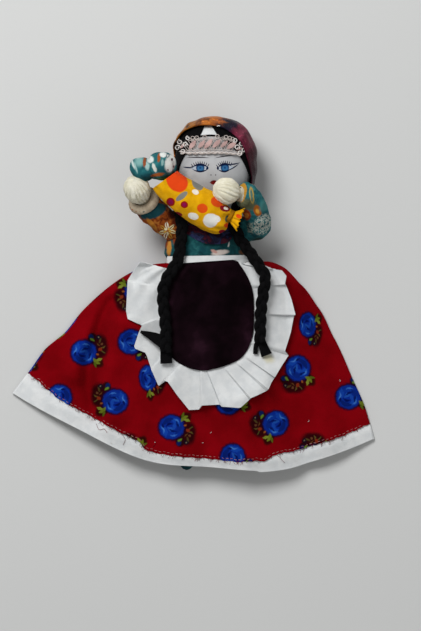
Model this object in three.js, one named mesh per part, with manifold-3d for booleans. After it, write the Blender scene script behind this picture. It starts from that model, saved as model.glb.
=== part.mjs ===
// A stuffed cloth doll that lies on its back, holds a swaddled baby in both arms and wears
// a satin headscarf, a printed blouse, a full skirt and a frilled apron.
// Millimetres. +X is to the doll's left hand side as seen by a viewer facing it (right in view),
// +Y runs from the feet to the head and +Z comes out of the face, away from the surface it lies on.
import * as THREE from "three";
import { mergeVertices } from "three/addons/utils/BufferGeometryUtils.js";
import Module from "manifold-3d";

const wasm = await Module();
wasm.setup();

// Cloth and clearances
const SEAM_GAP = 0.3;
const COTTON = 1.2;
const SATIN = 1.1;
const FELT = 1.2;
const LACE = 0.5;
const FLAT_CUT = 0.5;

// Head
const HEAD_HALF_WIDTH = 26.4;
const HEAD_HALF_HEIGHT = 29;
const HEAD_HALF_DEPTH = 21;
const HEAD_SIDEWAYS = 15.2;
const HEAD_SQUARENESS = 2.3;

// The inner edges of the parted hair, from the parting down to the cheek
const LEFT_HAIRLINE = [[-5.4, 24.2], [-10.3, 17.9], [-17.3, 10.9], [-20.1, 6.7], [-24.3, -0.3], [-26.5, -6.6]];
const RIGHT_HAIRLINE = [[-1.9, 24.2], [3.7, 17.2], [10.7, 11.6], [15.6, 7.4], [20.5, -0.3], [25.2, -9.8]];
const PARTING_X = -3.6;

// The edges of the lace band, and the heights of its ends at the sides of the head
const LACE_UPPER_EDGE = [[-22, 15], [-14, 17], [-4.7, 17.9], [5, 17.3], [14, 14.6]];
const LACE_LOWER_EDGE = [[14.2, 5.5], [4, 5.8], [-4.7, 6.7], [-19.8, 6.7]];
const LACE_LEFT_END = [8.4, 11.6];
const LACE_RIGHT_END = [4, 6.6];

// The scarf's edge round the face, from the left of the view, and the outline of its ends on the chest
const SCARF_EDGE = [
  [-27, 14.5], [-20, 20], [-12, 23.6], [-4, 24.6], [4, 23.4], [11, 20.4], [17, 16.4], [20.6, 11],
  [23, 4], [25, -4], [25.4, -10], [24, -16],
];
const SCARF_EDGE_START = 12;
const SCARF_EDGE_END = 21;
const SCARF_ENDS_OUTLINE = [[-9, 50], [-4, 42.5], [4.5, 36], [14, 34.6], [25, 37.4], [30.5, 44], [30, 51]];

// Neck and trunk
const NECK_X = 13.6;
const NECK_Y = 59.5;
const NECK_RADIUS = 8;
const NECK_TO_HEAD_CENTRE = 32.5;
const TRUNK_LEVEL = 20.8;
const WAIST_X = 10.8;
const WAIST_Y = 21.4;
const WAIST_HALF_WIDTH = 27.5;
const WAIST_HALF_DEPTH = 17.5;
const CHEST_HALF_WIDTH = 27;
const CHEST_HALF_DEPTH = 17;
const SHOULDER_HALF_WIDTH = 22;
const SHOULDER_HALF_DEPTH = 13.5;
const HIP_HALF_WIDTH = 25;
const HIP_HALF_DEPTH = 15.5;
const CHEST_ABOVE_WAIST = 18;
const SHOULDER_ABOVE_WAIST = 30;
const TRUNK_TOP_ABOVE_WAIST = 36;
const HIP_BELOW_WAIST = 10;
const TRUNK_END_BELOW_WAIST = 12;
const WAISTBAND_WIDTH = 3.5;
const WAISTBAND_THICKNESS = 1.5;

// Arms: the armhole centres lie on one line, so both arms turn together
const ARMHOLE_ABOVE_WAIST = 24.1;
const ARMHOLE_LEVEL = 26;
const ARM_ROOT_RADIUS = 10;
const CUFF_LENGTH = 4;
const HAND_RADIUS = 9.6;
const HAND_PLEATS = 12;
const HAND_PLEAT_DEPTH = 0.7;
const HAND_NECK_RADIUS = 4.2;
const HAND_NECK_LENGTH = 2.6;
const TIE_THREAD_RADIUS = 0.8;
const LEFT_ARM = {
  rootX: -12, elbow: [-19, 50, 28.5], wrist: [-35, 66, 39.5], palm: [-38.8, 72.6, 48],
  elbowRadius: 8.8, wristRadius: 10.4,
};
const RIGHT_ARM = {
  rootX: 38, elbow: [45.4, 48, 31], wrist: [34.2, 69.5, 52.5], palm: [22.8, 71.9, 58.5],
  elbowRadius: 8.8, wristRadius: 8.4,
};

// Baby: built along +X from the open end of its blanket, then turned into the arms
const BABY_NECK = [-18.9, 80.2, 54];
const BABY_TURN = THREE.MathUtils.degToRad(-30.2);
const SWADDLE_LENGTH = 51;
const SWADDLE_MOUTH_HALF_WIDTH = 9.2;
const SWADDLE_HALF_WIDTH = 14.3;
const SWADDLE_FOOT_HALF_WIDTH = 12;
const SWADDLE_TIED_RADIUS = 3.6;
const SWADDLE_MOUTH_DROP = 1;
const SWADDLE_BELLY_DROP = 5.4;
const SWADDLE_FOOT_DROP = 5;
const SWADDLE_FLATNESS = 0.9;
const SWADDLE_TAIL_LENGTH = 8;
const SWADDLE_TAIL_RADIUS = 8;
const SWADDLE_TAIL_PLEATS = 9;
const BABY_HEAD_RADIUS = 10.8;
const BABY_HEAD_OFFSET = [-6.8, 5.6, -1.5];
const BONNET_GATHER_RADIUS = 8.2;
const BONNET_GATHER_OFFSET = [-18.8, -2.2, -2.5];

// Skirt: a gathered tube that lies flattened, front over back, with straight rulings waist to hem
const SKIRT_LENGTH = 142.4;
const HEM_HALF_WIDTH = 126;
const HEM_RISE = 35;
const HEM_TILT = 16;
const SKIRT_FLARE = 0.52;
const HEM_CROWN = 19;
const SKIRT_EDGE_LEVEL = 1.7;
const HEM_BAND_SHARE = 0.925;
const HEM_BAND_TUCK = 0.028;
const HEM_DROP = 2.2;

// Folds of the skirt's front, each along a line of [u, v] places on it: a valley's height is below 0
const SKIRT_FOLDS = [
  { line: [[-0.92, 0.23], [-0.84, 0.45], [-0.77, 0.67], [-0.66, 0.81], [-0.56, 0.94]], halfWidth: 7.5, height: -5 },
  { line: [[-0.9, 0.34], [-0.9, 0.59], [-0.87, 0.84]], halfWidth: 9, height: 2 },
  { line: [[-0.65, 0.37], [-0.59, 0.61], [-0.45, 0.85]], halfWidth: 10, height: 2.5 },
  { line: [[-0.26, 0.74], [-0.23, 1]], halfWidth: 9, height: -2.6 },
  { line: [[0.03, 0.76], [0.05, 1]], halfWidth: 10, height: -2 },
  { line: [[0.28, 0.76], [0.29, 1]], halfWidth: 8, height: 2.6 },
  { line: [[0.51, 0.58], [0.58, 0.8]], halfWidth: 9, height: -2 },
  { line: [[0.77, 0.35], [0.79, 0.93]], halfWidth: 10, height: 2 },
];

// Apron
const APRON_HALF_WIDTH = 31;
const APRON_LENGTH = 74;
const APRON_CENTRE_X = 11;
const RUFFLE_WIDTH = 25;
const RUFFLE_DROOP = 1.15;
const RUFFLE_PLEATS = 18;
const RUFFLE_PLEAT_DEPTH = 2.2;
const RUFFLE_SCALLOP = 1.6;

// Legs
const HIP_SPACING = 19;
const HIP_RADIUS = 7.5;
const HIP_LEVEL = 14.5;
const ANKLE_RADIUS = 5.6;
const ANKLE_LEVEL = 7.5;
const FOOT_LENGTH = 14;
const FOOT_HALF_WIDTH = 5.8;
const LEFT_ANKLE_X = -4.5;
const LEFT_ANKLE_ABOVE_HEM = 13;
const RIGHT_ANKLE_X = 23;
const RIGHT_ANKLE_ABOVE_HEM = 17;

// Braids: routes chosen by hand, root first
const BRAID_RADIUS = 3.6;
const BRAID_STEPS = 14;
const BRAID_SIDES = 8;
const LEFT_BRAID = [
  [-12.8, 79, 28.2], [-12, 70, 33], [-9.8, 60, 37.6], [-7.8, 48, 41], [-8.6, 36, 40.8], [-10.8, 23, 42.6],
  [-16.5, 14, 42.8], [-20.5, 5, 41.8], [-21, -5, 40], [-19.8, -15, 38.6], [-19, -27, 37.4], [-19, -40, 36],
];
const RIGHT_BRAID = [
  [33, 65, 31], [30.4, 59, 35.2], [28.8, 50, 40], [32, 40, 40.4], [39, 30, 38.6], [45, 21.5, 39],
  [50.5, 12, 39.2], [49.5, 3, 38.2], [48, -7, 36.8], [47.4, -17, 35.8], [47, -26, 34.8], [47, -33, 34],
];
const TAIL_THICKNESS = 1.6;
const TAIL_DROOP = 0.4;
const LEFT_TAILS = [
  [-3.4, 0], [3.4, 0], [3.4, -8.6], [-3.4, -7.6], [-5.5, -3.5], [-9, 2], [-17.6, 13.9], [-11, 12], [-4.4, 9.6], [-4.4, 0],
];
const RIGHT_TAILS = [[-3.4, 0], [3.4, 0], [8, -9.6], [2.4, -11], [0.6, -3.6], [-2.2, -10.6], [-4.8, -10.4]];

// Colours and finishes
const SKIN = material(0xd9d8da, 0.9);
const FELT_BLACK = material(0x0c0b0d, 0.95);
const LACE_PINK = material(0xd9c4bf, 0.9);
const SATIN_SCARF = material(0x6e2433, 0.4);
const TEAL_PRINT = material(0x2c6f75, 0.7);
const CREAM = material(0xe6e2cf, 0.85);
const YELLOW_PRINT = material(0xe0aa08, 0.8);
const RED_PRINT = material(0x9c0d17, 0.85);
const WHITE_COTTON = material(0xe9eaec, 0.9);
const PLUM_VELVET = material(0x1c0a18, 0.95);
const THREAD = material(0x3b1512, 0.9);

function material(colour, roughness) {
  return new THREE.MeshStandardMaterial({ color: colour, roughness, metalness: 0 });
}

// The manifold solid of a closed geometry.
function solid(geometry) {
  const bare = geometry.clone();
  bare.deleteAttribute("normal");
  bare.deleteAttribute("uv");
  const merged = mergeVertices(bare, 1e-4);
  const mesh = new wasm.Mesh({
    numProp: 3,
    vertProperties: merged.attributes.position.array,
    triVerts: new Uint32Array(merged.index.array),
  });
  return new wasm.Manifold(mesh);
}

// The geometry of a manifold solid.
function geometryOf(body) {
  const mesh = body.getMesh();
  const geometry = new THREE.BufferGeometry();
  geometry.setAttribute("position", new THREE.BufferAttribute(mesh.vertProperties, 3));
  geometry.setIndex(new THREE.BufferAttribute(mesh.triVerts, 1));
  geometry.computeVertexNormals();
  return geometry;
}

function cut(geometry, ...cutters) {
  return geometryOf(cutters.reduce((body, cutter) => body.subtract(solid(cutter)), solid(geometry)));
}

function join(...geometries) {
  return geometryOf(geometries.map(solid).reduce((body, other) => body.add(other)));
}

function common(first, second) {
  return geometryOf(solid(first).intersect(solid(second)));
}

// A geometry from points and triangles, with its faces turned outwards.
function closedGeometry(points, triangles) {
  const volume = triangles.reduce((sum, [a, b, c]) => {
    const normal = new THREE.Vector3().crossVectors(points[b], points[c]);
    return sum + points[a].dot(normal);
  }, 0);
  const faces = volume < 0 ? triangles.map(([a, b, c]) => [a, c, b]) : triangles;
  const geometry = new THREE.BufferGeometry().setFromPoints(points);
  geometry.setIndex(faces.flat());
  geometry.computeVertexNormals();
  return geometry;
}

// A closed form through rings of points, with a cap at each end.
function loft(rings) {
  const sides = rings[0].length;
  const points = rings.flat();
  const triangles = [];
  for (let i = 0; i + 1 < rings.length; i++) {
    for (let j = 0; j < sides; j++) {
      const k = (j + 1) % sides;
      const [a, b, c, d] = [i * sides + j, i * sides + k, (i + 1) * sides + k, (i + 1) * sides + j];
      triangles.push([a, b, c], [a, c, d]);
    }
  }
  [[0, true], [rings.length - 1, false]].forEach(([ring, first]) => {
    const middle = rings[ring].reduce((sum, p) => sum.add(p), new THREE.Vector3()).divideScalar(sides);
    points.push(middle);
    for (let j = 0; j < sides; j++) {
      const [a, b] = [ring * sides + j, ring * sides + ((j + 1) % sides)];
      triangles.push(first ? [points.length - 1, b, a] : [points.length - 1, a, b]);
    }
  });
  return closedGeometry(points, triangles);
}

// A cloth panel: the space between two sheets of points, sampled over a grid of shares 0 to 1.
// A wrapped panel closes on itself along its first share.
function panel(across, along, upper, lower, wrapped = false) {
  const columns = wrapped ? across : across + 1;
  const rows = along + 1;
  const sheet = (surface) =>
    Array.from({ length: rows * columns }, (_, n) => surface((n % columns) / across, Math.floor(n / columns) / along));
  const points = [...sheet(upper), ...sheet(lower)];
  const below = rows * columns;
  const at = (i, j) => j * columns + (i % columns);
  const triangles = [];
  const quad = (a, b, c, d) => triangles.push([a, b, c], [a, c, d]);
  for (let i = 0; i < across; i++) {
    for (let j = 0; j < along; j++) {
      quad(at(i, j), at(i + 1, j), at(i + 1, j + 1), at(i, j + 1));
      quad(below + at(i, j), below + at(i, j + 1), below + at(i + 1, j + 1), below + at(i + 1, j));
    }
    quad(at(i, 0), below + at(i, 0), below + at(i + 1, 0), at(i + 1, 0));
    quad(at(i, along), at(i + 1, along), below + at(i + 1, along), below + at(i, along));
  }
  if (!wrapped) {
    for (let j = 0; j < along; j++) {
      quad(at(0, j), at(0, j + 1), below + at(0, j + 1), below + at(0, j));
      quad(at(across, j), below + at(across, j), below + at(across, j + 1), at(across, j + 1));
    }
  }
  return closedGeometry(points, triangles);
}

// A prism along Z over a smooth outline of [x, y] points.
function prism(outline, low, high) {
  const start = new THREE.Vector2(...outline[0]);
  const shape = new THREE.Shape([start, ...outline.slice(1).map(([x, y]) => new THREE.Vector2(x, y))]);
  return new THREE.ExtrudeGeometry(shape, { depth: high - low, bevelEnabled: false }).translate(0, 0, low);
}

function ball(radius, [x, y, z], across = 14, along = 9) {
  return new THREE.SphereGeometry(radius, across, along).translate(x, y, z);
}

// A smooth value through a few [place, value] stations.
function throughStations(stations, place) {
  const last = stations.length - 1;
  const next = Math.min(Math.max(stations.findIndex(([at]) => at >= place), 1), last);
  const [low, high] = [stations[next - 1], stations[next]];
  const share = THREE.MathUtils.clamp((place - low[0]) / (high[0] - low[0]), 0, 1);
  return THREE.MathUtils.lerp(low[1], high[1], THREE.MathUtils.smoothstep(share, 0, 1));
}

// A round stuffed form along a curve: radiusAt gives its radius at each share of the length,
// and pleatAt the share by which that radius swells at an angle round the curve.
function stuffed(curve, radiusAt, steps, sides, pleatAt = () => 0) {
  const frames = curve.computeFrenetFrames(steps);
  const rings = Array.from({ length: steps + 1 }, (_, i) => {
    const middle = curve.getPointAt(i / steps);
    return Array.from({ length: sides }, (_, j) => {
      const angle = (2 * Math.PI * j) / sides;
      const radius = radiusAt(i / steps) * (1 + pleatAt(angle, i / steps));
      return middle
        .clone()
        .addScaledVector(frames.normals[i], radius * Math.cos(angle))
        .addScaledVector(frames.binormals[i], radius * Math.sin(angle));
    });
  });
  return loft(rings);
}

const point = ([x, y, z]) => new THREE.Vector3(x, y, z);

// Head, in its own frame: the centre of the ball, with the face towards +Z

const HAIR_LIFT = SEAM_GAP;
const LACE_LIFT = HAIR_LIFT + FELT + SEAM_GAP;
const SCARF_LIFT = LACE_LIFT + LACE + SEAM_GAP;
const SCARF_OUTSIDE = SCARF_LIFT + SATIN;

// A ball that is a little squarer than an ellipsoid, as firm stuffing makes it.
function headForm(grow, across = 20, along = 12) {
  const form = new THREE.SphereGeometry(1, across, along);
  const place = form.attributes.position;
  for (let i = 0; i < place.count; i++) {
    const on = new THREE.Vector3().fromBufferAttribute(place, i);
    const size = on.toArray().reduce((sum, value) => sum + Math.abs(value) ** HEAD_SQUARENESS, 0);
    place.setXYZ(i, ...on.multiplyScalar(size ** (-1 / HEAD_SQUARENESS)).toArray());
  }
  return form.scale(HEAD_HALF_WIDTH + grow, HEAD_HALF_HEIGHT + grow, HEAD_HALF_DEPTH + grow);
}

// A layer of cloth over the head, from one lift above it to another.
function headLayer(lift, thickness) {
  return cut(headForm(lift + thickness), headForm(lift));
}

const NECK_IN_HEAD = [NECK_X - HEAD_SIDEWAYS, -NECK_TO_HEAD_CENTRE, 0];

function neckSocket(grow) {
  return ball(NECK_RADIUS + grow, NECK_IN_HEAD);
}

function headBall() {
  return cut(headForm(0), neckSocket(SEAM_GAP));
}

// Half of the parted hair: side is -1 for the left of the view and 1 for the right.
function hair(side, hairline) {
  const beyond = side * (HEAD_HALF_WIDTH + FELT + SEAM_GAP + 1);
  const top = HEAD_HALF_HEIGHT + FELT + SEAM_GAP + 1;
  const low = hairline.at(-1)[1] - 3;
  const outline = [[PARTING_X + side * SEAM_GAP, top], ...hairline, [beyond, low], [beyond, top]];
  return common(headLayer(HAIR_LIFT, FELT), prism(outline, -HEAD_HALF_DEPTH * 0.25, HEAD_HALF_DEPTH + FELT + 1));
}

function laceHeadband() {
  const reach = HEAD_HALF_WIDTH + LACE_LIFT + LACE + 1;
  const [leftLow, leftHigh] = LACE_LEFT_END;
  const [rightLow, rightHigh] = LACE_RIGHT_END;
  const outline = [
    [-reach, leftHigh], ...LACE_UPPER_EDGE, [reach, rightHigh], [reach, rightLow], ...LACE_LOWER_EDGE, [-reach, leftLow],
  ];
  return common(headLayer(LACE_LIFT, LACE), prism(outline, -HEAD_HALF_DEPTH * 0.2, HEAD_HALF_DEPTH + SCARF_OUTSIDE));
}

// The scarf covers the crown, the back and the right of the view, and leaves the face open.
function headscarf() {
  const beyond = HEAD_HALF_WIDTH + SCARF_OUTSIDE + 2;
  const below = -HEAD_HALF_HEIGHT - SCARF_OUTSIDE - 2;
  const opening = [[-beyond, SCARF_EDGE_START], ...SCARF_EDGE, [SCARF_EDGE_END, below], [-beyond, below]];
  const mouth = prism(opening, -HEAD_HALF_DEPTH * 0.35, HEAD_HALF_DEPTH + SCARF_OUTSIDE + 2);
  const nape = ball(HEAD_HALF_WIDTH * 0.62, [0, below + 4, 0]);
  const floor = prism(
    [[-2 * beyond, 2 * below], [2 * beyond, 2 * below], [2 * beyond, -2 * below], [-2 * beyond, -2 * below]],
    -HEAD_HALF_DEPTH - 2 * SCARF_OUTSIDE,
    -HEAD_HALF_DEPTH - SCARF_OUTSIDE + FLAT_CUT,
  );
  return cut(headLayer(SCARF_LIFT, SATIN), mouth, nape, floor);
}

// Trunk: elliptical sections along Y, grown outwards for each layer of dress

const TRUNK_STATIONS = [
  [WAIST_Y - TRUNK_END_BELOW_WAIST, HIP_HALF_WIDTH * 0.62, HIP_HALF_DEPTH * 0.6],
  [WAIST_Y - HIP_BELOW_WAIST, HIP_HALF_WIDTH, HIP_HALF_DEPTH],
  [WAIST_Y, WAIST_HALF_WIDTH, WAIST_HALF_DEPTH],
  [WAIST_Y + CHEST_ABOVE_WAIST, CHEST_HALF_WIDTH, CHEST_HALF_DEPTH],
  [WAIST_Y + SHOULDER_ABOVE_WAIST, SHOULDER_HALF_WIDTH, SHOULDER_HALF_DEPTH],
  [WAIST_Y + TRUNK_TOP_ABOVE_WAIST, NECK_RADIUS * 1.3, NECK_RADIUS],
];

function trunkX(y) {
  const rise = (y - WAIST_Y) / (NECK_Y - WAIST_Y);
  return THREE.MathUtils.lerp(WAIST_X, NECK_X, THREE.MathUtils.clamp(rise, -1, 1));
}

function trunkSection(y, grow) {
  return {
    halfWidth: throughStations(TRUNK_STATIONS.map(([at, width]) => [at, width]), y) + grow,
    halfDepth: throughStations(TRUNK_STATIONS.map(([at, , depth]) => [at, depth]), y) + grow,
  };
}

function trunkPoint(y, grow, angle) {
  const { halfWidth, halfDepth } = trunkSection(y, grow);
  return new THREE.Vector3(
    trunkX(y) + halfWidth * Math.cos(angle),
    y,
    TRUNK_LEVEL + halfDepth * Math.sin(angle),
  );
}

const TRUNK_SIDES = 20;
const TRUNK_LOW = TRUNK_STATIONS[0][0];
const TRUNK_HIGH = TRUNK_STATIONS.at(-1)[0];
const WAISTBAND_LOW = WAIST_Y + COTTON / 2 + SEAM_GAP;
const WAISTBAND_TOP = WAISTBAND_LOW + WAISTBAND_WIDTH;
const BODICE_LOW = WAISTBAND_TOP + SEAM_GAP;
const BODICE_HIGH = WAIST_Y + SHOULDER_ABOVE_WAIST + 1.5;
const BODICE_STEPS = 5;
const BODICE_HEIGHTS = Array.from({ length: BODICE_STEPS + 1 }, (_, i) =>
  THREE.MathUtils.lerp(BODICE_LOW, BODICE_HIGH, i / BODICE_STEPS),
);
const TRUNK_HEIGHTS = [
  TRUNK_LOW, WAIST_Y - HIP_BELOW_WAIST, WAIST_Y, WAISTBAND_LOW, WAISTBAND_TOP, ...BODICE_HEIGHTS, TRUNK_HIGH,
];

// Every layer has its rings at the same heights, so the layers stay apart all over.
function heightsBetween(low, high) {
  return [low, ...TRUNK_HEIGHTS.filter((y) => y > low && y < high), high];
}

function trunkForm(grow, low = TRUNK_LOW, high = TRUNK_HIGH) {
  const rings = heightsBetween(low, high).map((y) =>
    Array.from({ length: TRUNK_SIDES }, (_, j) => trunkPoint(y, grow, (2 * Math.PI * j) / TRUNK_SIDES)),
  );
  return loft(rings);
}

// A band of cloth round the trunk between two heights.
function trunkBand(low, high, lift, thickness) {
  const heights = heightsBetween(low, high);
  const steps = heights.length - 1;
  const surface = (grow) => (share, rise) =>
    trunkPoint(heights[Math.round(rise * steps)], grow, 2 * Math.PI * share);
  return panel(TRUNK_SIDES, steps, surface(lift + thickness), surface(lift), true);
}

const ARMHOLE_Y = WAIST_Y + ARMHOLE_ABOVE_WAIST;
const BODICE_OUTSIDE = SEAM_GAP + COTTON;
const SURFACE_LEVEL = TRUNK_LEVEL - WAIST_HALF_DEPTH - SEAM_GAP - WAISTBAND_THICKNESS;

function armRoot(arm) {
  return [arm.rootX, ARMHOLE_Y, ARMHOLE_LEVEL];
}

function armSockets(grow) {
  return [LEFT_ARM, RIGHT_ARM].map((arm) => ball(ARM_ROOT_RADIUS + SEAM_GAP + grow, armRoot(arm)));
}

const HIP_Y = WAIST_Y - HIP_BELOW_WAIST;

function hip(side) {
  return [WAIST_X + (side * HIP_SPACING) / 2, HIP_Y, HIP_LEVEL];
}

function hipSockets() {
  return [-1, 1].map((side) => ball(HIP_RADIUS + SEAM_GAP, hip(side)));
}

function neckForm(grow) {
  const foot = WAIST_Y + SHOULDER_ABOVE_WAIST;
  const stem = new THREE.CylinderGeometry(NECK_RADIUS * 0.8 + grow, NECK_RADIUS * 0.8 + grow, NECK_Y - foot, 14);
  stem.translate(NECK_X, (NECK_Y + foot) / 2, TRUNK_LEVEL + HEAD_DROP);
  return join(stem, ball(NECK_RADIUS + grow, [NECK_X, NECK_Y, TRUNK_LEVEL + HEAD_DROP]));
}

// The head's ball rests on its scarf, on the same surface as the dress.
const HEAD_LEVEL = SURFACE_LEVEL + HEAD_HALF_DEPTH + SCARF_OUTSIDE - FLAT_CUT;
const HEAD_DROP = HEAD_LEVEL - TRUNK_LEVEL;

function torso() {
  return cut(trunkForm(0), neckForm(SEAM_GAP), ...armSockets(0), ...hipSockets());
}

function bodice() {
  const band = trunkBand(BODICE_LOW, BODICE_HIGH, SEAM_GAP, COTTON);
  return cut(band, ...armSockets(0), neckForm(SEAM_GAP));
}

// The ends of the scarf, tucked flat under the chin.
function scarfEnds() {
  const lift = BODICE_OUTSIDE + SEAM_GAP;
  const layer = cut(
    trunkForm(lift + SATIN, BODICE_LOW, BODICE_HIGH),
    trunkForm(lift, BODICE_LOW - 1, BODICE_HIGH + 1),
  );
  return cut(
    common(layer, prism(SCARF_ENDS_OUTLINE, TRUNK_LEVEL, TRUNK_LEVEL + CHEST_HALF_DEPTH + 2 * lift)),
    ...armSockets(SATIN),
  );
}

// Arms

function armCurve(arm) {
  const wrist = point(arm.wrist);
  const before = wrist.clone().addScaledVector(wristAxis(arm), -CUFF_LENGTH);
  return new THREE.CatmullRomCurve3([point(armRoot(arm)), point(arm.elbow), before, wrist]);
}

// The stuffed sleeve past its round root, grown outwards to make room for what it wears.
function sleeveTube(arm, grow) {
  const stations = [[0, ARM_ROOT_RADIUS - 0.6], [0.4, arm.elbowRadius], [1, arm.wristRadius]];
  return stuffed(armCurve(arm), (share) => throughStations(stations, share) + grow, 7, 14);
}

function sleeve(arm) {
  return join(sleeveTube(arm, 0), ball(ARM_ROOT_RADIUS, armRoot(arm)));
}

function wristAxis(arm) {
  return point(arm.palm).sub(point(arm.wrist)).normalize();
}

// A geometry made along +Y, carried to the wrist with +Y along the hand.
function atWrist(geometry, arm) {
  const turn = new THREE.Quaternion().setFromUnitVectors(new THREE.Vector3(0, 1, 0), wristAxis(arm));
  return geometry.applyQuaternion(turn).translate(...arm.wrist);
}

// A ring of square section round +Y.
function ring(inner, outer, low, high, sides = 14) {
  const corners = [[inner, low], [outer, low], [outer, high], [inner, high], [inner, low]];
  return new THREE.LatheGeometry(corners.map(([x, y]) => new THREE.Vector2(x, y)), sides);
}

function cuff(arm) {
  const inner = arm.wristRadius + SEAM_GAP;
  const band = ring(inner - SEAM_GAP, inner + COTTON, -CUFF_LENGTH * 0.7, CUFF_LENGTH * 0.3);
  return cut(atWrist(band, arm), sleeveTube(arm, SEAM_GAP));
}

function wristTie(arm) {
  const middle = HAND_NECK_RADIUS + SEAM_GAP + TIE_THREAD_RADIUS;
  const torus = new THREE.TorusGeometry(middle, TIE_THREAD_RADIUS, 5, 12).rotateX(Math.PI / 2);
  return atWrist(torus.translate(0, SEAM_GAP + HAND_NECK_LENGTH / 2, 0), arm);
}

// A cloth ball gathered at the wrist, with pleats that fade towards its crown.
function hand(arm) {
  const start = 2 * SEAM_GAP;
  const neckEnd = start + HAND_NECK_LENGTH;
  const length = neckEnd + 2 * HAND_RADIUS;
  const axis = new THREE.LineCurve3(new THREE.Vector3(0, start, 0), new THREE.Vector3(0, length, 0));
  const neckShare = HAND_NECK_LENGTH / (length - start);
  const radiusAt = (share) => {
    if (share < neckShare) return HAND_NECK_RADIUS;
    const across = (share - neckShare) / (1 - neckShare);
    const round = Math.sqrt(Math.max(1 - (2 * across - 1) ** 2, 0));
    return Math.max(HAND_RADIUS * round, across < 0.5 ? HAND_NECK_RADIUS : 0.8);
  };
  const pleatAt = (angle, share) =>
    share < neckShare ? 0 : (HAND_PLEAT_DEPTH / HAND_RADIUS) * Math.cos(HAND_PLEATS * angle) * (1 - share);
  return atWrist(stuffed(axis, radiusAt, 10, HAND_PLEATS * 2, pleatAt), arm);
}

// Baby, in its own frame: the open end of the blanket at the origin, the feet towards +X

const BABY_PLACE = new THREE.Matrix4().makeTranslation(...BABY_NECK).multiply(new THREE.Matrix4().makeRotationZ(BABY_TURN));

const BELLY_PLACE = SWADDLE_LENGTH * 0.5;
const FOOT_PLACE = SWADDLE_LENGTH * 0.84;
const SWADDLE_WIDTHS = [
  [0, SWADDLE_MOUTH_HALF_WIDTH], [BELLY_PLACE, SWADDLE_HALF_WIDTH],
  [FOOT_PLACE, SWADDLE_FOOT_HALF_WIDTH], [SWADDLE_LENGTH, SWADDLE_TIED_RADIUS],
];
const SWADDLE_DROPS = [
  [0, SWADDLE_MOUTH_DROP], [BELLY_PLACE, SWADDLE_BELLY_DROP], [FOOT_PLACE, SWADDLE_FOOT_DROP], [SWADDLE_LENGTH, 0],
];

function alongX(low, high) {
  return new THREE.LineCurve3(new THREE.Vector3(low, 0, 0), new THREE.Vector3(high, 0, 0));
}

// The wrapped body sags to one side between its mouth and its tie.
function swaddle(grow) {
  const radiusAt = (share) => throughStations(SWADDLE_WIDTHS, share * SWADDLE_LENGTH) + grow;
  const form = stuffed(alongX(-grow, SWADDLE_LENGTH + grow), radiusAt, 12, 18).scale(1, 1, SWADDLE_FLATNESS);
  const place = form.attributes.position;
  for (let i = 0; i < place.count; i++) {
    place.setY(i, place.getY(i) - throughStations(SWADDLE_DROPS, place.getX(i)));
  }
  form.computeVertexNormals();
  return form;
}

function swaddleTie() {
  const middle = SWADDLE_TIED_RADIUS + SEAM_GAP + TIE_THREAD_RADIUS;
  const place = SWADDLE_LENGTH + SEAM_GAP + TIE_THREAD_RADIUS;
  return new THREE.TorusGeometry(middle, TIE_THREAD_RADIUS, 5, 12).rotateY(Math.PI / 2).translate(place, 0, 0);
}

// The gathered cloth past the tie, pleated and flared.
function swaddleTail() {
  const start = SWADDLE_LENGTH + SEAM_GAP;
  const radiusAt = (share) => THREE.MathUtils.lerp(SWADDLE_TIED_RADIUS, SWADDLE_TAIL_RADIUS, Math.max(share - 0.3, 0) / 0.7);
  const pleatAt = (angle, share) => 0.16 * share * Math.cos(SWADDLE_TAIL_PLEATS * angle);
  const flare = stuffed(alongX(start, start + SWADDLE_TAIL_LENGTH), radiusAt, 4, SWADDLE_TAIL_PLEATS * 2, pleatAt);
  return flare.scale(1, 1, 0.72);
}

function babyHead(grow) {
  return new THREE.SphereGeometry(BABY_HEAD_RADIUS + grow, 16, 10).translate(...BABY_HEAD_OFFSET);
}

// The gathered back of the bonnet, a smaller ball against the head.
function bonnetGather(grow) {
  return new THREE.SphereGeometry(BONNET_GATHER_RADIUS + grow, 14, 9).translate(...BONNET_GATHER_OFFSET);
}

function inArms(geometry) {
  return geometry.clone().applyMatrix4(BABY_PLACE);
}

// Skirt: u runs from -1 at the left edge of the view to 1 at the right, v from waist to hem

const SKIRT_START_LIFT = SEAM_GAP + COTTON / 2;
const EDGE_SEAM = SEAM_GAP / 2 + COTTON / 2;

function skirtX(u, v) {
  const waist = WAIST_HALF_WIDTH + SKIRT_START_LIFT;
  const half = waist + (HEM_HALF_WIDTH - waist) * v ** SKIRT_FLARE;
  return WAIST_X * (1 - v ** 2.2) + half * u;
}

function skirtY(u, v) {
  return WAIST_Y + (-SKIRT_LENGTH + HEM_RISE * u * u - HEM_TILT * u) * v;
}

function skirtEdgeLevel(v) {
  return SURFACE_LEVEL + SKIRT_EDGE_LEVEL + (TRUNK_LEVEL - SURFACE_LEVEL - SKIRT_EDGE_LEVEL) * (1 - v) ** 8;
}

// How far a place in view lies from a line of points.
function distanceTo(line, place) {
  const nearest = new THREE.Vector3();
  const steps = line.slice(1).map((end, i) => new THREE.Line3(line[i], end));
  return Math.min(...steps.map((step) => step.closestPointToPoint(place, true, nearest).distanceTo(place)));
}

const FOLD_LINES = SKIRT_FOLDS.map(({ line }) => line.map(([u, v]) => new THREE.Vector3(skirtX(u, v), skirtY(u, v), 0)));

// The height of all folds at a place on the front. They fade towards its folded edges.
function foldHeight(u, v) {
  const place = new THREE.Vector3(skirtX(u, v), skirtY(u, v), 0);
  const height = SKIRT_FOLDS.reduce(
    (sum, fold, i) => sum + fold.height * Math.exp(-((distanceTo(FOLD_LINES[i], place) / fold.halfWidth) ** 2)),
    0,
  );
  return height * THREE.MathUtils.smoothstep(1 - u * u, 0, 0.3);
}

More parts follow.
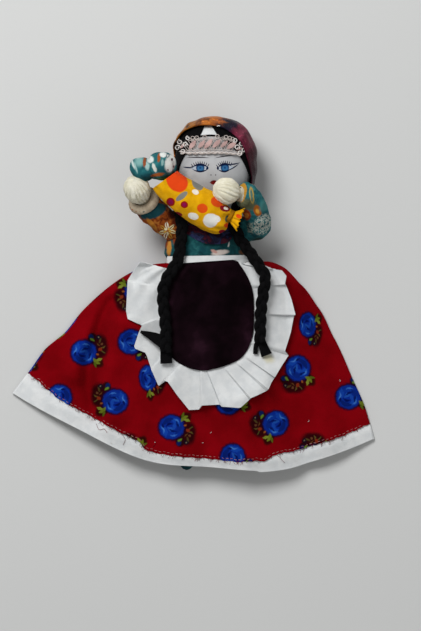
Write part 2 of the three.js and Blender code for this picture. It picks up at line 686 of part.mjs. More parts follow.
function skirtFront(u, v) {
  const waistCrown = TRUNK_LEVEL + WAIST_HALF_DEPTH + SKIRT_START_LIFT;
  const crown = SURFACE_LEVEL + HEM_CROWN + (waistCrown - SURFACE_LEVEL - HEM_CROWN) * (1 - v) ** 1.3;
  const edge = skirtEdgeLevel(v) + EDGE_SEAM;
  const roundness = THREE.MathUtils.lerp(0.5, 1.15, Math.min(2.5 * v, 1));
  const drop = HEM_DROP * THREE.MathUtils.smoothstep(v, HEM_BAND_SHARE, 1) * (1 - u * u);
  return edge + (crown - edge) * Math.max(1 - u * u, 0) ** roundness + foldHeight(u, v) - drop;
}

function skirtBack(u, v) {
  const lowest = SURFACE_LEVEL + COTTON / 2;
  const waistBack = TRUNK_LEVEL - WAIST_HALF_DEPTH - SKIRT_START_LIFT;
  const middle = lowest + (waistBack - lowest) * (1 - v) ** 20;
  const edge = skirtEdgeLevel(v) - EDGE_SEAM;
  return edge - (edge - middle) * Math.sqrt(Math.max(1 - u * u, 0));
}

// A point off the skirt's cloth by a lift along its outward normal.
function skirtPoint(u, v, level, lift) {
  const on = (a, b) => new THREE.Vector3(skirtX(a, b), skirtY(a, b), level(a, b));
  const step = 1e-3;
  const across = on(Math.min(u + step, 1), v).sub(on(Math.max(u - step, -1), v));
  const along = on(u, Math.min(v + step, 1)).sub(on(u, Math.max(v - step, 0)));
  const normal = new THREE.Vector3().crossVectors(along, across).normalize();
  if (level === skirtBack) normal.negate();
  return on(u, v).addScaledVector(normal, lift);
}

const FRONT_COLUMNS = 44;
const FRONT_ROWS = 11;
const BACK_COLUMNS = 16;
const BACK_ROWS = 6;

// Columns crowd towards the folded edges.
function skirtColumn(share) {
  return -Math.cos(Math.PI * share);
}

function skirtPanel(level, low, high, columns, rows) {
  const surface = (lift) => (share, rise) => {
    const u = skirtColumn(share);
    return skirtPoint(u, THREE.MathUtils.lerp(low(u), high(u), rise), level, lift);
  };
  return panel(columns, rows, surface(COTTON / 2), surface(-COTTON / 2));
}

// Where the hem band meets the red cloth: nearer the hem in the middle, where the hem turns down.
function bandPlace(u) {
  return HEM_BAND_SHARE + HEM_BAND_TUCK * (1 - u * u);
}

const SEAM_SHARE = SEAM_GAP / SKIRT_LENGTH;
const waistRow = () => 0;
const hemRow = () => 1;
const redEnd = (u) => bandPlace(u) - SEAM_SHARE;
const bandStart = (u) => bandPlace(u) + SEAM_SHARE;
const skirtFrontPanel = () => skirtPanel(skirtFront, waistRow, redEnd, FRONT_COLUMNS, FRONT_ROWS);
const skirtBackPanel = () => skirtPanel(skirtBack, waistRow, redEnd, BACK_COLUMNS, BACK_ROWS);
const hemFrontBand = () => skirtPanel(skirtFront, bandStart, hemRow, FRONT_COLUMNS, 1);
const hemBackBand = () => skirtPanel(skirtBack, bandStart, hemRow, BACK_COLUMNS, 1);

// The height of the skirt's front over a place in view, found by halving v.
function skirtHeight(x, y) {
  let [low, high] = [0, 1];
  const place = (v) => {
    const half = skirtX(1, v) - skirtX(0, v);
    return THREE.MathUtils.clamp((x - skirtX(0, v)) / half, -0.94, 0.94);
  };
  for (let i = 0; i < 30; i++) {
    const v = (low + high) / 2;
    if (skirtY(place(v), v) > y) low = v;
    else high = v;
  }
  return skirtFront(place(low), low);
}

// Apron: an oval panel under the waistband with a pleated frill round its free edge

const APRON_TOP = WAIST_Y - SEAM_GAP;
const APRON_CENTRE_Y = APRON_TOP - APRON_LENGTH * 0.47;
const APRON_START = Math.asin(0.47 / 0.53);

// The apron's edge at a turn from the right corner of the waist, round the bottom, to the left one.
function apronEdge(share, reach) {
  const angle = THREE.MathUtils.lerp(APRON_START, -Math.PI - APRON_START, share);
  const x = APRON_CENTRE_X + (APRON_HALF_WIDTH + reach) * Math.cos(angle);
  const y = APRON_CENTRE_Y + (APRON_LENGTH * 0.53 + reach * RUFFLE_DROOP) * Math.sin(angle);
  return [x, Math.min(y, APRON_TOP)];
}

const APRON_LIFT = COTTON / 2 + 2 * SEAM_GAP;

// The velvet runs in rows between matching places on the left and right of that edge.
function apronPanel() {
  const surface = (lift) => (share, rise) => {
    const turn = 0.485 * rise;
    const [right, y] = apronEdge(turn, -SEAM_GAP);
    const [left] = apronEdge(1 - turn, -SEAM_GAP);
    const x = THREE.MathUtils.lerp(left, right, share);
    return new THREE.Vector3(x, y, skirtHeight(x, y) + lift);
  };
  return panel(8, 12, surface(APRON_LIFT + COTTON), surface(APRON_LIFT));
}

function apronRuffle() {
  const perPleat = 3;
  const surface = (lift) => (share, rise) => {
    const turn = share * RUFFLE_PLEATS;
    const wave = Math.sin(2 * Math.PI * turn);
    const reach = SEAM_GAP / 2 + rise * (RUFFLE_WIDTH + RUFFLE_SCALLOP * Math.cos(2 * Math.PI * turn));
    const [x, y] = apronEdge(share, reach);
    const pleat = RUFFLE_PLEAT_DEPTH * rise * (1 + wave) / 2;
    return new THREE.Vector3(x, y, skirtHeight(x, y) + lift + pleat);
  };
  return panel(RUFFLE_PLEATS * perPleat, 3, surface(APRON_LIFT + COTTON), surface(APRON_LIFT));
}

function apronWaistband() {
  return trunkBand(WAISTBAND_LOW, WAISTBAND_TOP, SEAM_GAP, WAISTBAND_THICKNESS);
}

// Legs: stuffed tubes under the skirt, each with a foot

const HEM_Y = WAIST_Y - SKIRT_LENGTH;
const LEFT_ANKLE = [LEFT_ANKLE_X, HEM_Y + LEFT_ANKLE_ABOVE_HEM];
const RIGHT_ANKLE = [RIGHT_ANKLE_X, HEM_Y + RIGHT_ANKLE_ABOVE_HEM];

function leg(side, ankle) {
  const end = new THREE.Vector3(ankle[0], ankle[1], SURFACE_LEVEL + ANKLE_LEVEL);
  const curve = new THREE.LineCurve3(point(hip(side)), end);
  const stations = [[0, HIP_RADIUS - 0.4], [0.3, HIP_RADIUS], [1, ANKLE_RADIUS]];
  const tube = stuffed(curve, (share) => throughStations(stations, share), 6, 12);
  return join(tube, ball(HIP_RADIUS, hip(side)));
}

function foot([x, y]) {
  const form = new THREE.SphereGeometry(1, 12, 8).scale(FOOT_HALF_WIDTH, FOOT_LENGTH / 2 + 1.5, FOOT_HALF_WIDTH);
  form.translate(x, y - FOOT_LENGTH / 2 - SEAM_GAP, SURFACE_LEVEL + ANKLE_LEVEL);
  const seam = y - SEAM_GAP;
  const reach = 2 * FOOT_LENGTH;
  const above = [[x - reach, seam], [x + reach, seam], [x + reach, seam + reach], [x - reach, seam + reach]];
  return cut(form, prism(above, SURFACE_LEVEL - reach, SURFACE_LEVEL + reach));
}

// Braids

function braid(route) {
  const section = new THREE.Shape(
    Array.from({ length: BRAID_SIDES }, (_, i) => {
      const angle = (2 * Math.PI * i) / BRAID_SIDES;
      return new THREE.Vector2(BRAID_RADIUS * Math.cos(angle), BRAID_RADIUS * Math.sin(angle));
    }),
  );
  const path = new THREE.CatmullRomCurve3(route.map(point));
  return new THREE.ExtrudeGeometry(section, { steps: BRAID_STEPS, extrudePath: path, bevelEnabled: false });
}

// The loose strip ends below the last turn of a braid. They droop to either side of it.
function braidTails(route, outline) {
  const [x, y, z] = route.at(-1);
  const form = prism(outline, -TAIL_THICKNESS / 2, TAIL_THICKNESS / 2);
  const place = form.attributes.position;
  for (let i = 0; i < place.count; i++) {
    const aside = Math.max(Math.abs(place.getX(i)) - BRAID_RADIUS, 0);
    place.setZ(i, place.getZ(i) - TAIL_DROOP * aside);
  }
  form.computeVertexNormals();
  return form.translate(x, y - SEAM_GAP, z);
}

// Assembly

function piece(name, geometry, finish) {
  const mesh = new THREE.Mesh(geometry, finish);
  mesh.name = name;
  return mesh;
}

const head = new THREE.Group();
head.position.set(HEAD_SIDEWAYS, NECK_Y + NECK_TO_HEAD_CENTRE, HEAD_LEVEL);
head.add(
  piece("head", headBall(), SKIN),
  piece("hair_left", hair(-1, LEFT_HAIRLINE), FELT_BLACK),
  piece("hair_right", hair(1, RIGHT_HAIRLINE), FELT_BLACK),
  piece("lace_headband", laceHeadband(), LACE_PINK),
  piece("headscarf", headscarf(), SATIN_SCARF),
);

const trunk = new THREE.Group();
trunk.add(
  piece("neck", neckForm(0), SKIN),
  piece("torso", torso(), SKIN),
  piece("bodice", bodice(), TEAL_PRINT),
  piece("scarf_ends", scarfEnds(), SATIN_SCARF),
  piece("skirt_front", skirtFrontPanel(), RED_PRINT),
  piece("skirt_back", skirtBackPanel(), RED_PRINT),
  piece("hem_band_front", hemFrontBand(), WHITE_COTTON),
  piece("hem_band_back", hemBackBand(), WHITE_COTTON),
  piece("apron_panel", apronPanel(), PLUM_VELVET),
  piece("apron_ruffle", apronRuffle(), WHITE_COTTON),
  piece("apron_waistband", apronWaistband(), WHITE_COTTON),
);

const baby = new THREE.Group();
baby.applyMatrix4(BABY_PLACE);
baby.add(
  piece("baby_swaddle", swaddle(0), YELLOW_PRINT),
  piece("baby_swaddle_tie", swaddleTie(), THREAD),
  piece("baby_swaddle_tail", swaddleTail(), YELLOW_PRINT),
  piece("baby_head", cut(babyHead(0), swaddle(SEAM_GAP)), TEAL_PRINT),
  piece("baby_bonnet_gather", cut(bonnetGather(0), babyHead(SEAM_GAP)), TEAL_PRINT),
);

const babyCutters = [swaddle(SEAM_GAP), babyHead(SEAM_GAP), bonnetGather(SEAM_GAP)].map(inArms);

const arms = new THREE.Group();
[["left", LEFT_ARM], ["right", RIGHT_ARM]].forEach(([side, arm]) => {
  arms.add(
    piece(side + "_sleeve", sleeve(arm), TEAL_PRINT),
    piece(side + "_cuff", cuff(arm), CREAM),
    piece(side + "_wrist_tie", wristTie(arm), THREAD),
    piece(side + "_hand", cut(hand(arm), ...babyCutters), CREAM),
  );
});

const legs = new THREE.Group();
[["left", -1, LEFT_ANKLE], ["right", 1, RIGHT_ANKLE]].forEach(([side, sign, ankle]) => {
  legs.add(piece(side + "_leg", leg(sign, ankle), TEAL_PRINT), piece(side + "_foot", foot(ankle), TEAL_PRINT));
});

const braids = new THREE.Group();
braids.add(
  piece("braid_left", braid(LEFT_BRAID), FELT_BLACK),
  piece("braid_left_tails", braidTails(LEFT_BRAID, LEFT_TAILS), FELT_BLACK),
  piece("braid_right", braid(RIGHT_BRAID), FELT_BLACK),
  piece("braid_right_tails", braidTails(RIGHT_BRAID, RIGHT_TAILS), FELT_BLACK),
);

// The part's origin is under the middle of the doll, on the surface that it lies on.
const doll = new THREE.Group();
doll.add(head, trunk, baby, arms, legs, braids);
const box = new THREE.Box3().setFromObject(doll);
doll.position.set(-(box.min.x + box.max.x) / 2, -(box.min.y + box.max.y) / 2, -box.min.z);
const part = new THREE.Group();
part.add(doll);

export default part;
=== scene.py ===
"""The looks of a stuffed cloth doll that holds a swaddled baby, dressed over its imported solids.

Lengths are the doll's own millimetres, as its solids have them; Form.build turns them into metres.
"""
import math

import bpy
import numpy as np
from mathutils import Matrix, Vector, noise


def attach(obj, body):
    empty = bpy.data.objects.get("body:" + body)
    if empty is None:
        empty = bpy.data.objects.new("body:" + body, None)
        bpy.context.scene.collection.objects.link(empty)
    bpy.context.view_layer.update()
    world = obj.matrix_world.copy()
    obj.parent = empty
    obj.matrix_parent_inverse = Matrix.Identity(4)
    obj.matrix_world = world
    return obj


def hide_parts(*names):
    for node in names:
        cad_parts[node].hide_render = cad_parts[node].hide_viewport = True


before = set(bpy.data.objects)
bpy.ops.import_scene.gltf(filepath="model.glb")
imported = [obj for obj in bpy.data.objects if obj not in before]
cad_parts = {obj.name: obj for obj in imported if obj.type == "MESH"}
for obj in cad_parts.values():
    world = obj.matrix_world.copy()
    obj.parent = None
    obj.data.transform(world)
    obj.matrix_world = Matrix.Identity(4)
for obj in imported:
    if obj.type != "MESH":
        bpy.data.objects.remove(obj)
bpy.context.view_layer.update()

# The doll's place in the frame, and the photograph's scale over it
MM = 0.001
OFFSET = np.array([-0.010, -0.450, -1.500])
PIXEL = 0.7
PIXEL_ORIGIN = (193, 294)
PHOTO_SIZE = (421, 631)

# Sizes that the solids have too
SURFACE = 1.5
HEAD_CENTRE = np.array([15.2, 92.0, 25.7])
HEAD_HALF = np.array([26.4, 29.0, 21.0])
HEAD_SQUARENESS = 2.3
WAIST = (10.8, 21.4)
NECK = (13.6, 59.5)
TRUNK_LEVEL = 20.8
TRUNK_WIDTHS = [[9.4, 15.5], [11.4, 25], [21.4, 27.5], [39.4, 27], [51.4, 22], [57.4, 10.4]]
TRUNK_DEPTHS = [[9.4, 9.3], [11.4, 15.5], [21.4, 17.5], [39.4, 17], [51.4, 13.5], [57.4, 8]]
ARMHOLE = (45.5, 26.0)
ARM_ROOT_RADIUS = 9.4
LEFT_ARM = {
    "root": -12, "elbow": (-19, 50, 28.5), "wrist": (-35, 66, 39.5), "palm": (-38.8, 72.6, 48),
    "radii": (9.3, 10.4),
}
RIGHT_ARM = {
    "root": 38, "elbow": (45.4, 48, 31), "wrist": (34.2, 69.5, 52.5), "palm": (22.8, 71.9, 58.5),
    "radii": (8.8, 8.4),
}
CUFF_LENGTH = 4
HAND_RADIUS = 9.6
BABY_NECK = np.array([-18.9, 80.2, 54.0])
BABY_TURN = math.radians(-30.2)
SWADDLE_LENGTH = 51
TIED_RADIUS = 3.6
BABY_HEAD = ((-6.8, 5.6, -1.5), 10.8)
BONNET_GATHER = ((-18.8, -2.2, -2.5), 8.2)
SKIRT_LENGTH = 142.4
HEM_HALF_WIDTH = 126
WAIST_HALF_WIDTH = 28.4
HEM_DROP = 2.2
APRON_CENTRE = (11, -13.68)
APRON_HALF = (31, 39.22)
HIP_LEVEL = 14.5
LEFT_ANKLE = (-4.5, -108, 9.0)
RIGHT_ANKLE = (23, -104, 9.0)
LEFT_BRAID = [
    (-12.8, 79, 28.2), (-12, 70, 33), (-9.8, 60, 37.6), (-7.8, 48, 41), (-8.6, 36, 40.8), (-10.8, 23, 42.6),
    (-16.5, 14, 42.8), (-20.5, 5, 41.8), (-21, -5, 40), (-19.8, -15, 38.6), (-19, -27, 37.4), (-19, -40, 36),
]
RIGHT_BRAID = [
    (33, 65, 31), (30.4, 59, 35.2), (28.8, 50, 40), (32, 40, 40.4), (39, 30, 38.6), (45, 21.5, 39),
    (50.5, 12, 39.2), (49.5, 3, 38.2), (48, -7, 36.8), (47.4, -17, 35.8), (47, -26, 34.8), (47, -33, 34),
]

# How finely curves are sampled, how far a seed moves the noise, and where an edge counts as sharp
SPAN_STEPS = 24
CURVE_STEPS = 240
SEED_SHIFT = 7.31
SHARP_EDGE = math.radians(60)


def pixels(places):
    """Places in the photograph as the doll's x and y."""
    return np.array([((x - PIXEL_ORIGIN[0]) * PIXEL, (PIXEL_ORIGIN[1] - y) * PIXEL) for x, y in places])


def metres(place):
    return tuple((np.array(place, float) + OFFSET) * MM)


def lerp(a, b, share):
    return a + (b - a) * share


def smoothstep(value, low, high):
    share = np.clip((value - low) / (high - low), 0, 1)
    return share * share * (3 - 2 * share)


def through(stations, place):
    """A value that eases from each [place, value] station to the next."""
    places, values = np.array(stations, float).T
    place = np.asarray(place, float)
    after = np.clip(np.searchsorted(places, place), 1, len(places) - 1)
    return lerp(values[after - 1], values[after], smoothstep(place, places[after - 1], places[after]))


def unit(vectors):
    return vectors / np.maximum(np.linalg.norm(vectors, axis=-1, keepdims=True), 1e-9)


def curve_through(points, steps):
    """Evenly spaced points on a smooth curve through a few points."""
    given = np.array(points, float)
    ends = np.vstack([2 * given[0] - given[1], given, 2 * given[-1] - given[-2]])
    share = np.linspace(0, 1, SPAN_STEPS, endpoint=False)[:, None]
    spans = []
    for a, b, c, d in zip(ends, ends[1:], ends[2:], ends[3:]):
        before, gap, after = (max(np.linalg.norm(q - p), 1e-6) ** 0.5 for p, q in ((a, b), (b, c), (c, d)))
        leave = ((b - a) / before - (c - a) / (before + gap) + (c - b) / gap) * gap
        arrive = ((c - b) / gap - (d - b) / (gap + after) + (d - c) / after) * gap
        square = -3 * b + 3 * c - 2 * leave - arrive
        cube = 2 * b - 2 * c + leave + arrive
        spans.append(b + leave * share + square * share**2 + cube * share**3)
    dense = np.vstack([*spans, given[-1:]])
    run = np.concatenate([[0], np.cumsum(np.linalg.norm(np.diff(dense, axis=0), axis=1))])
    at = np.linspace(0, run[-1], steps + 1)
    return np.stack([np.interp(at, run, dense[:, k]) for k in range(dense.shape[1])], 1)


def along_curve(stations, place):
    """A value on the smooth curve through [place, value] stations."""
    places, values = curve_through(stations, CURVE_STEPS).T
    return np.interp(place, places, values)


def wrinkle(points, size, depth, seed=0):
    """Soft bumps of about that size and depth at each point."""
    places = np.asarray(points).reshape(-1, 3) / size + SEED_SHIFT * seed
    values = np.array([noise.noise(Vector(p)) for p in places])
    return depth * values.reshape(np.asarray(points).shape[:-1])


def normals_of(points, wrap):
    """Unit normals of a grid of points."""
    across = np.roll(points, -1, 1) - np.roll(points, 1, 1) if wrap else np.gradient(points, axis=1)
    along = np.gradient(points, axis=0)
    return unit(np.cross(across, along))


class Form:
    """The points and faces of one piece, gathered closed part by closed part."""

    def __init__(self):
        self.points, self.faces, self.flats, self.count = [], [], [], 0

    def add(self, points, faces, flats):
        """A closed part: its points, its faces, and each face corner's place on the flat cloth."""
        corners = np.array([(face[0], b, c) for face in faces for b, c in zip(face[1:], face[2:])])
        a, b, c = (points[corners[:, k]] for k in range(3))
        if (a * np.cross(b, c)).sum() < 0:
            faces = [face[::-1] for face in faces]
            flats = [flat[::-1] for flat in flats]
        self.points.append(points)
        self.faces += [[int(i) + self.count for i in face] for face in faces]
        self.flats += [np.asarray(flat, float) for flat in flats]
        self.count += len(points)

    def shell(self, middle, thickness, wrap=False):
        """A cloth whose middle runs through a grid of points."""
        rows, columns = middle.shape[:2]
        lift = normals_of(middle, wrap) * thickness / 2
        points = np.concatenate([(middle + lift).reshape(-1, 3), (middle - lift).reshape(-1, 3)])
        upper, upper_flat = grid(middle, wrap)
        under = rows * columns
        lower = (upper + under)[:, ::-1]
        top = (rows - 1) * columns
        rims = []
        for j in range(columns if wrap else columns - 1):
            k = (j + 1) % columns
            rims += [[k, j, under + j, under + k], [top + j, top + k, under + top + k, under + top + j]]
        if not wrap:
            for i in range(rows - 1):
                a, b = i * columns, (i + 1) * columns
                c, d = a + columns - 1, b + columns - 1
                rims += [[a, b, under + b, under + a], [d, c, under + c, under + d]]
        faces = [*upper.tolist(), *lower.tolist(), *rims]
        self.add(points, faces, [*upper_flat, *upper_flat[:, ::-1], *np.zeros((len(rims), 4, 2))])
        return self

    def rings(self, points):
        """A closed form through rings of points, with a cap at each end."""
        rows, columns = points.shape[:2]
        body, flats = grid(points, True)
        ends = np.stack([points[0].mean(0), points[-1].mean(0)])
        first, last = rows * columns, rows * columns + 1
        top = (rows - 1) * columns
        caps = []
        for j in range(columns):
            k = (j + 1) % columns
            caps += [[first, k, j], [last, top + j, top + k]]
        cap_flats = np.zeros((len(caps), 3, 2))
        self.add(np.concatenate([points.reshape(-1, 3), ends]), [*body.tolist(), *caps], [*flats, *cap_flats])
        return self

    def tube(self, path, radius, sides=6, up=(0, 0, 1)):
        """A round cord along a path, with one radius or one for each point."""
        path = np.asarray(path, float)
        tangent = unit(np.gradient(path, axis=0))
        side = unit(np.cross(tangent, np.array(up, float)))
        above = np.cross(side, tangent)
        turn = np.linspace(0, 2 * math.pi, sides, endpoint=False)
        spread = np.broadcast_to(np.asarray(radius, float), len(path))[:, None, None]
        around = side[:, None] * np.cos(turn)[None, :, None] + above[:, None] * np.sin(turn)[None, :, None]
        return self.rings(path[:, None] + around * spread)

    def build(self, name, material):
        mesh = bpy.data.meshes.new(name)
        points = np.concatenate(self.points)
        points[:, 2] = np.maximum(points[:, 2], SURFACE)
        mesh.from_pydata(((points + OFFSET) * MM).tolist(), [], self.faces)
        layer = mesh.uv_layers.new(name="cloth")
        layer.uv.foreach_set("vector", np.concatenate(self.flats).astype(np.float32).ravel())
        mesh.shade_smooth()
        mesh.set_sharp_from_angle(angle=SHARP_EDGE)
        mesh.materials.append(material)
        piece = bpy.data.objects.new(name, mesh)
        bpy.context.scene.collection.objects.link(piece)
        return piece


def grid(points, wrap):
    """The faces of a grid of points, and each corner's place on the flat cloth."""
    rows, columns = points.shape[:2]
    cells = columns if wrap else columns - 1
    i, j = (a.ravel() for a in np.meshgrid(np.arange(rows - 1), np.arange(cells), indexing="ij"))
    corner_row = np.stack([i, i, i + 1, i + 1], 1)
    corner_column = np.stack([j, j + 1, j + 1, j], 1)
    closed = np.concatenate([points, points[:, :1]], 1) if wrap else points
    across = np.linalg.norm(np.diff(closed, axis=1), axis=2).mean(0)
    along = np.linalg.norm(np.diff(points, axis=0), axis=2).mean(1)
    run_across = np.concatenate([[0], np.cumsum(across)])
    run_along = np.concatenate([[0], np.cumsum(along)])
    flat = np.stack([run_across[corner_column], run_along[corner_row]], 2)
    return corner_row * columns + corner_column % columns, flat


def dress(form, name, material, body, slot, *nodes):
    """Builds a piece on its body, with its finish and the solids that it stands for."""
    piece = form.build(name, MATERIALS[material])
    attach(piece, body)
    if nodes:
        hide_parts(*nodes)
    return piece


def linear(code):
    """A hex colour as linear red, green, blue and alpha."""
    parts = [int(code[i : i + 2], 16) / 255 for i in (0, 2, 4)]
    return [*(p / 12.92 if p <= 0.04045 else ((p + 0.055) / 1.055) ** 2.4 for p in parts), 1.0]


# Cloth finish: scale and detail of the dye and of the fibres, and the fibres' share of the relief
DYE = (0.09, 3.0)
FIBRE = (2.6, 2.0)
FIBRE_RELIEF = 2.5
# Where the two tones of a mottled dye lie on its noise
MOTTLE = (0.35, 0.65)
# The facing at which a cloth counts as turned up, and a depth that flattens coordinates
FACING_UP = 0.25
NO_DEPTH = 1e6
# A flower's soft edge, and where its heart begins and is full, as shares of its radius
PETAL_EDGE = 0.06
HEART = (0.32, 0.2)
# How sharply a scattered motif is chosen
CHOICE = 0.01


class Paint:
    """One procedural material, drawn with nodes on the doll's own millimetres."""

    def __init__(self, name, finish):
        self.material = bpy.data.materials.new(name)
        self.material.use_nodes = True
        self.tree = self.material.node_tree
        self.shader = self.tree.nodes["Principled BSDF"]
        for socket, value in finish.items():
            self.shader.inputs[socket].default_value = value
        coordinates = self.node("TexCoord").outputs
        self.place = self.vector("MULTIPLY_ADD", coordinates["Object"], (1 / MM,) * 3, tuple(-OFFSET))
        self.flat = self.node("UVMap", uv_map="cloth").outputs[0]
        self.facing = coordinates["Normal"]

    def node(self, kind, **settings):
        made = self.tree.nodes.new("ShaderNode" + kind)
        for name, value in settings.items():
            setattr(made, name, value)
        return made

    def feed(self, socket, value):
        if isinstance(value, bpy.types.NodeSocket):
            self.tree.links.new(value, socket)
        else:
            socket.default_value = value

    def operate(self, made, values):
        """Feeds a node's inputs in their order."""
        for socket, value in zip(made.inputs, values):
            self.feed(socket, value)
        return made.outputs

    def vector(self, operation, *values):
        outputs = self.operate(self.node("VectorMath", operation=operation), values)
        return outputs["Value" if operation == "LENGTH" else "Vector"]

    def scale(self, vector, factor):
        made = self.node("VectorMath", operation="SCALE")
        self.feed(made.inputs["Vector"], vector)
        self.feed(made.inputs["Scale"], factor)
        return made.outputs["Vector"]

    def math(self, operation, *values):
        return self.operate(self.node("Math", operation=operation), values)[0]

    def axes(self, vector):
        return self.operate(self.node("SeparateXYZ"), [vector])

    def step(self, value, low, high):
        """0 below low and 1 above high, smooth between; reversed where low is the larger."""
        made = self.node("MapRange", interpolation_type="SMOOTHSTEP")
        return self.operate(made, (value, low, high))[0]

    def both(self, *masks):
        """The share where all masks are on."""
        shared = masks[0]
        for mask in masks[1:]:
            shared = self.math("MULTIPLY", shared, mask)
        return shared

    def mix(self, share, a, b):
        made = self.node("Mix", data_type="RGBA")
        for index, value in ((0, share), (6, a), (7, b)):
            self.feed(made.inputs[index], linear(value) if isinstance(value, str) else value)
        return made.outputs[2]

    def view(self):
        """The photograph's pixel coordinates of each place on the rest pose."""
        across, down = PIXEL_ORIGIN
        return self.vector("MULTIPLY_ADD", self.place, (1 / PIXEL, -1 / PIXEL, 0), (across, down, 0))

    def front(self):
        """The cloth that faces up, out of the doll's front."""
        return self.step(self.axes(self.facing)[2], 0.0, FACING_UP)

    def local(self, vector, place, turn=0.0, size=(1, 1)):
        """Coordinates about a place, turned by degrees and divided by a size, with no depth."""
        made = self.node("Mapping", vector_type="TEXTURE")
        self.feed(made.inputs["Vector"], vector)
        made.inputs["Location"].default_value = (*place, 0)
        made.inputs["Rotation"].default_value = (0, 0, math.radians(turn))
        made.inputs["Scale"].default_value = (*size, NO_DEPTH)
        return made.outputs[0]

    def spot(self, vector, place, size, turn=0.0, soft=0.12):
        """An oval mask: 1 inside, 0 outside."""
        far = self.vector("LENGTH", self.local(vector, place, turn, size))
        return self.step(far, 1 + soft, 1 - soft)

    def brush(self, vector, place, half, turn=0.0, bend=0.0, width=0.3, soft=0.12):
        """A stroke mask with pointed ends: half its length, its bend at the ends, and half its width."""
        x, y, _ = self.axes(self.local(vector, place, turn, (half, 1)))
        square = self.math("MULTIPLY", x, x)
        aside = self.math("ABSOLUTE", self.math("MULTIPLY_ADD", square, -bend, y))
        inside = self.math("SUBTRACT", self.math("MULTIPLY_ADD", square, -width, width), aside)
        return self.step(inside, -soft, soft)

    def flower(self, vector, place, radius, petals, width=0.25):
        """Masks of a flower's petals and of its heart."""
        about = self.local(vector, place)
        x, y, _ = self.axes(about)
        far = self.vector("LENGTH", about)
        turn = self.math("MULTIPLY", self.math("ARCTAN2", y, x), petals)
        reach = self.math("MULTIPLY_ADD", self.math("COSINE", turn), width * radius, (1 - width) * radius)
        edge = PETAL_EDGE * radius
        petal = self.step(self.math("SUBTRACT", reach, far), -edge, edge)
        return petal, self.step(far, HEART[0] * radius, HEART[1] * radius)

    def noises(self, vector, scale, detail=2.0, distortion=0.0):
        """Soft noise as a value, then as a colour."""
        made = self.node("TexNoise")
        self.feed(made.inputs["Vector"], vector)
        for name, value in (("Scale", scale), ("Detail", detail), ("Distortion", distortion)):
            made.inputs[name].default_value = value
        return made.outputs

    def noise(self, vector, *shape):
        return self.noises(vector, *shape)[0]

    def drift(self, vector, scale, reach):
        """The coordinates, moved about by up to a reach, as a hand print wanders."""
        random = self.vector("SUBTRACT", self.noises(vector, scale)[1], (0.5, 0.5, 0.5))
        return self.vector("ADD", vector, self.scale(random, 2 * reach))

    def layer(self, colour, masks):
        """Paints colours over each other through their masks."""
        for mask, code in masks:
            colour = self.mix(mask, colour, code)
        return colour

    def spots(self, colour, vector, rows):
        """Paints ovals, each a place, half sizes, turn, softness and colour."""
        return self.layer(colour, [(self.spot(vector, *shape), code) for *shape, code in rows])

    def strokes(self, colour, vector, rows, soft=0.12):
        """Paints brush strokes, each a place, half length, turn, bend, half width and colour."""
        return self.layer(colour, [(self.brush(vector, *shape, soft), code) for *shape, code in rows])

    def chosen(self, random, share):
        """On at that share of the scattered points."""
        return self.step(random, share + CHOICE, share - CHOICE)

    def mottle(self, dark, light, scale=0.16, detail=3.0):
        """A dye that wanders between two tones."""
        return self.ramp(self.noise(self.place, scale, detail), list(zip(MOTTLE, (dark, light))))

    def ramp(self, share, stops, interpolation="EASE"):
        made = self.node("ValToRGB")
        made.color_ramp.interpolation = interpolation
        elements = made.color_ramp.elements
        while len(elements) < len(stops):
            elements.new(0.5)
        for element, (at, code) in zip(elements, stops):
            element.position = at
            element.color = linear(code)
        self.feed(made.inputs[0], share)
        return made.outputs[0]

    def cells(self, vector, scale, randomness=0.8):
        """Scattered points: coordinates about the nearest one, and its random colour's parts."""
        made = self.node("TexVoronoi", voronoi_dimensions="2D")
        self.feed(made.inputs["Vector"], vector)
        made.inputs["Scale"].default_value = scale
        made.inputs["Randomness"].default_value = randomness
        about = self.vector("SUBTRACT", vector, made.outputs["Position"])
        return about, self.axes(made.outputs["Color"])

    def weave(self, pitch):
        """The over and under of woven threads, on the flat cloth."""
        x, y, _ = self.axes(self.scale(self.flat, 2 * math.pi / pitch))
        return self.math("MULTIPLY", self.math("SINE", x), self.math("SINE", y))

    def bump(self, height, depth, under=None):
        """Relief of a depth in millimetres, on top of other relief."""
        made = self.node("Bump")
        self.feed(made.inputs["Height"], height)
        made.inputs["Distance"].default_value = depth * MM
        if under is not None:
            self.feed(made.inputs["Normal"], under)
        return made.outputs[0]

    def cloth(self, colour, pitch=0.5, relief=0.05, fade=0.14):
        """Finishes the material as woven cloth: uneven dye, fibres, and the weave's relief."""
        dye = self.noise(self.place, *DYE)
        fibre = self.noise(self.place, *FIBRE)
        shade = self.math("MULTIPLY_ADD", dye, fade, 1 - fade / 2)
        grain = self.math("MULTIPLY_ADD", fibre, fade, -fade / 2)
        tone = self.scale(colour, self.math("ADD", shade, grain))
        self.feed(self.shader.inputs["Base Color"], tone)
        rough = self.bump(fibre, relief * FIBRE_RELIEF)
        self.feed(self.shader.inputs["Normal"], self.bump(self.weave(pitch), relief, rough))
        return self.material


COTTON = {"Roughness": 0.92, "Specular IOR Level": 0.06, "Sheen Weight": 0.015, "Sheen Roughness": 0.5}
SATIN = {"Roughness": 0.36, "Specular IOR Level": 0.07}
DYED_COTTON = {"Roughness": 0.95, "Specular IOR Level": 0.02}
VELVET = {
    "Roughness": 0.95, "Specular IOR Level": 0.03, "Sheen Weight": 0.03, "Sheen Roughness": 0.35,
    "Sheen Tint": linear("9a6f88"),
}
JERSEY = {"Roughness": 0.9, "Specular IOR Level": 0.1}


def plain_cloth(name, dark, light, finish=COTTON, pitch=0.5, relief=0.05):
    """Cloth of one dye, a little uneven."""
    paint = Paint(name, finish)
    return paint.cloth(paint.mottle(dark, light), pitch, relief)


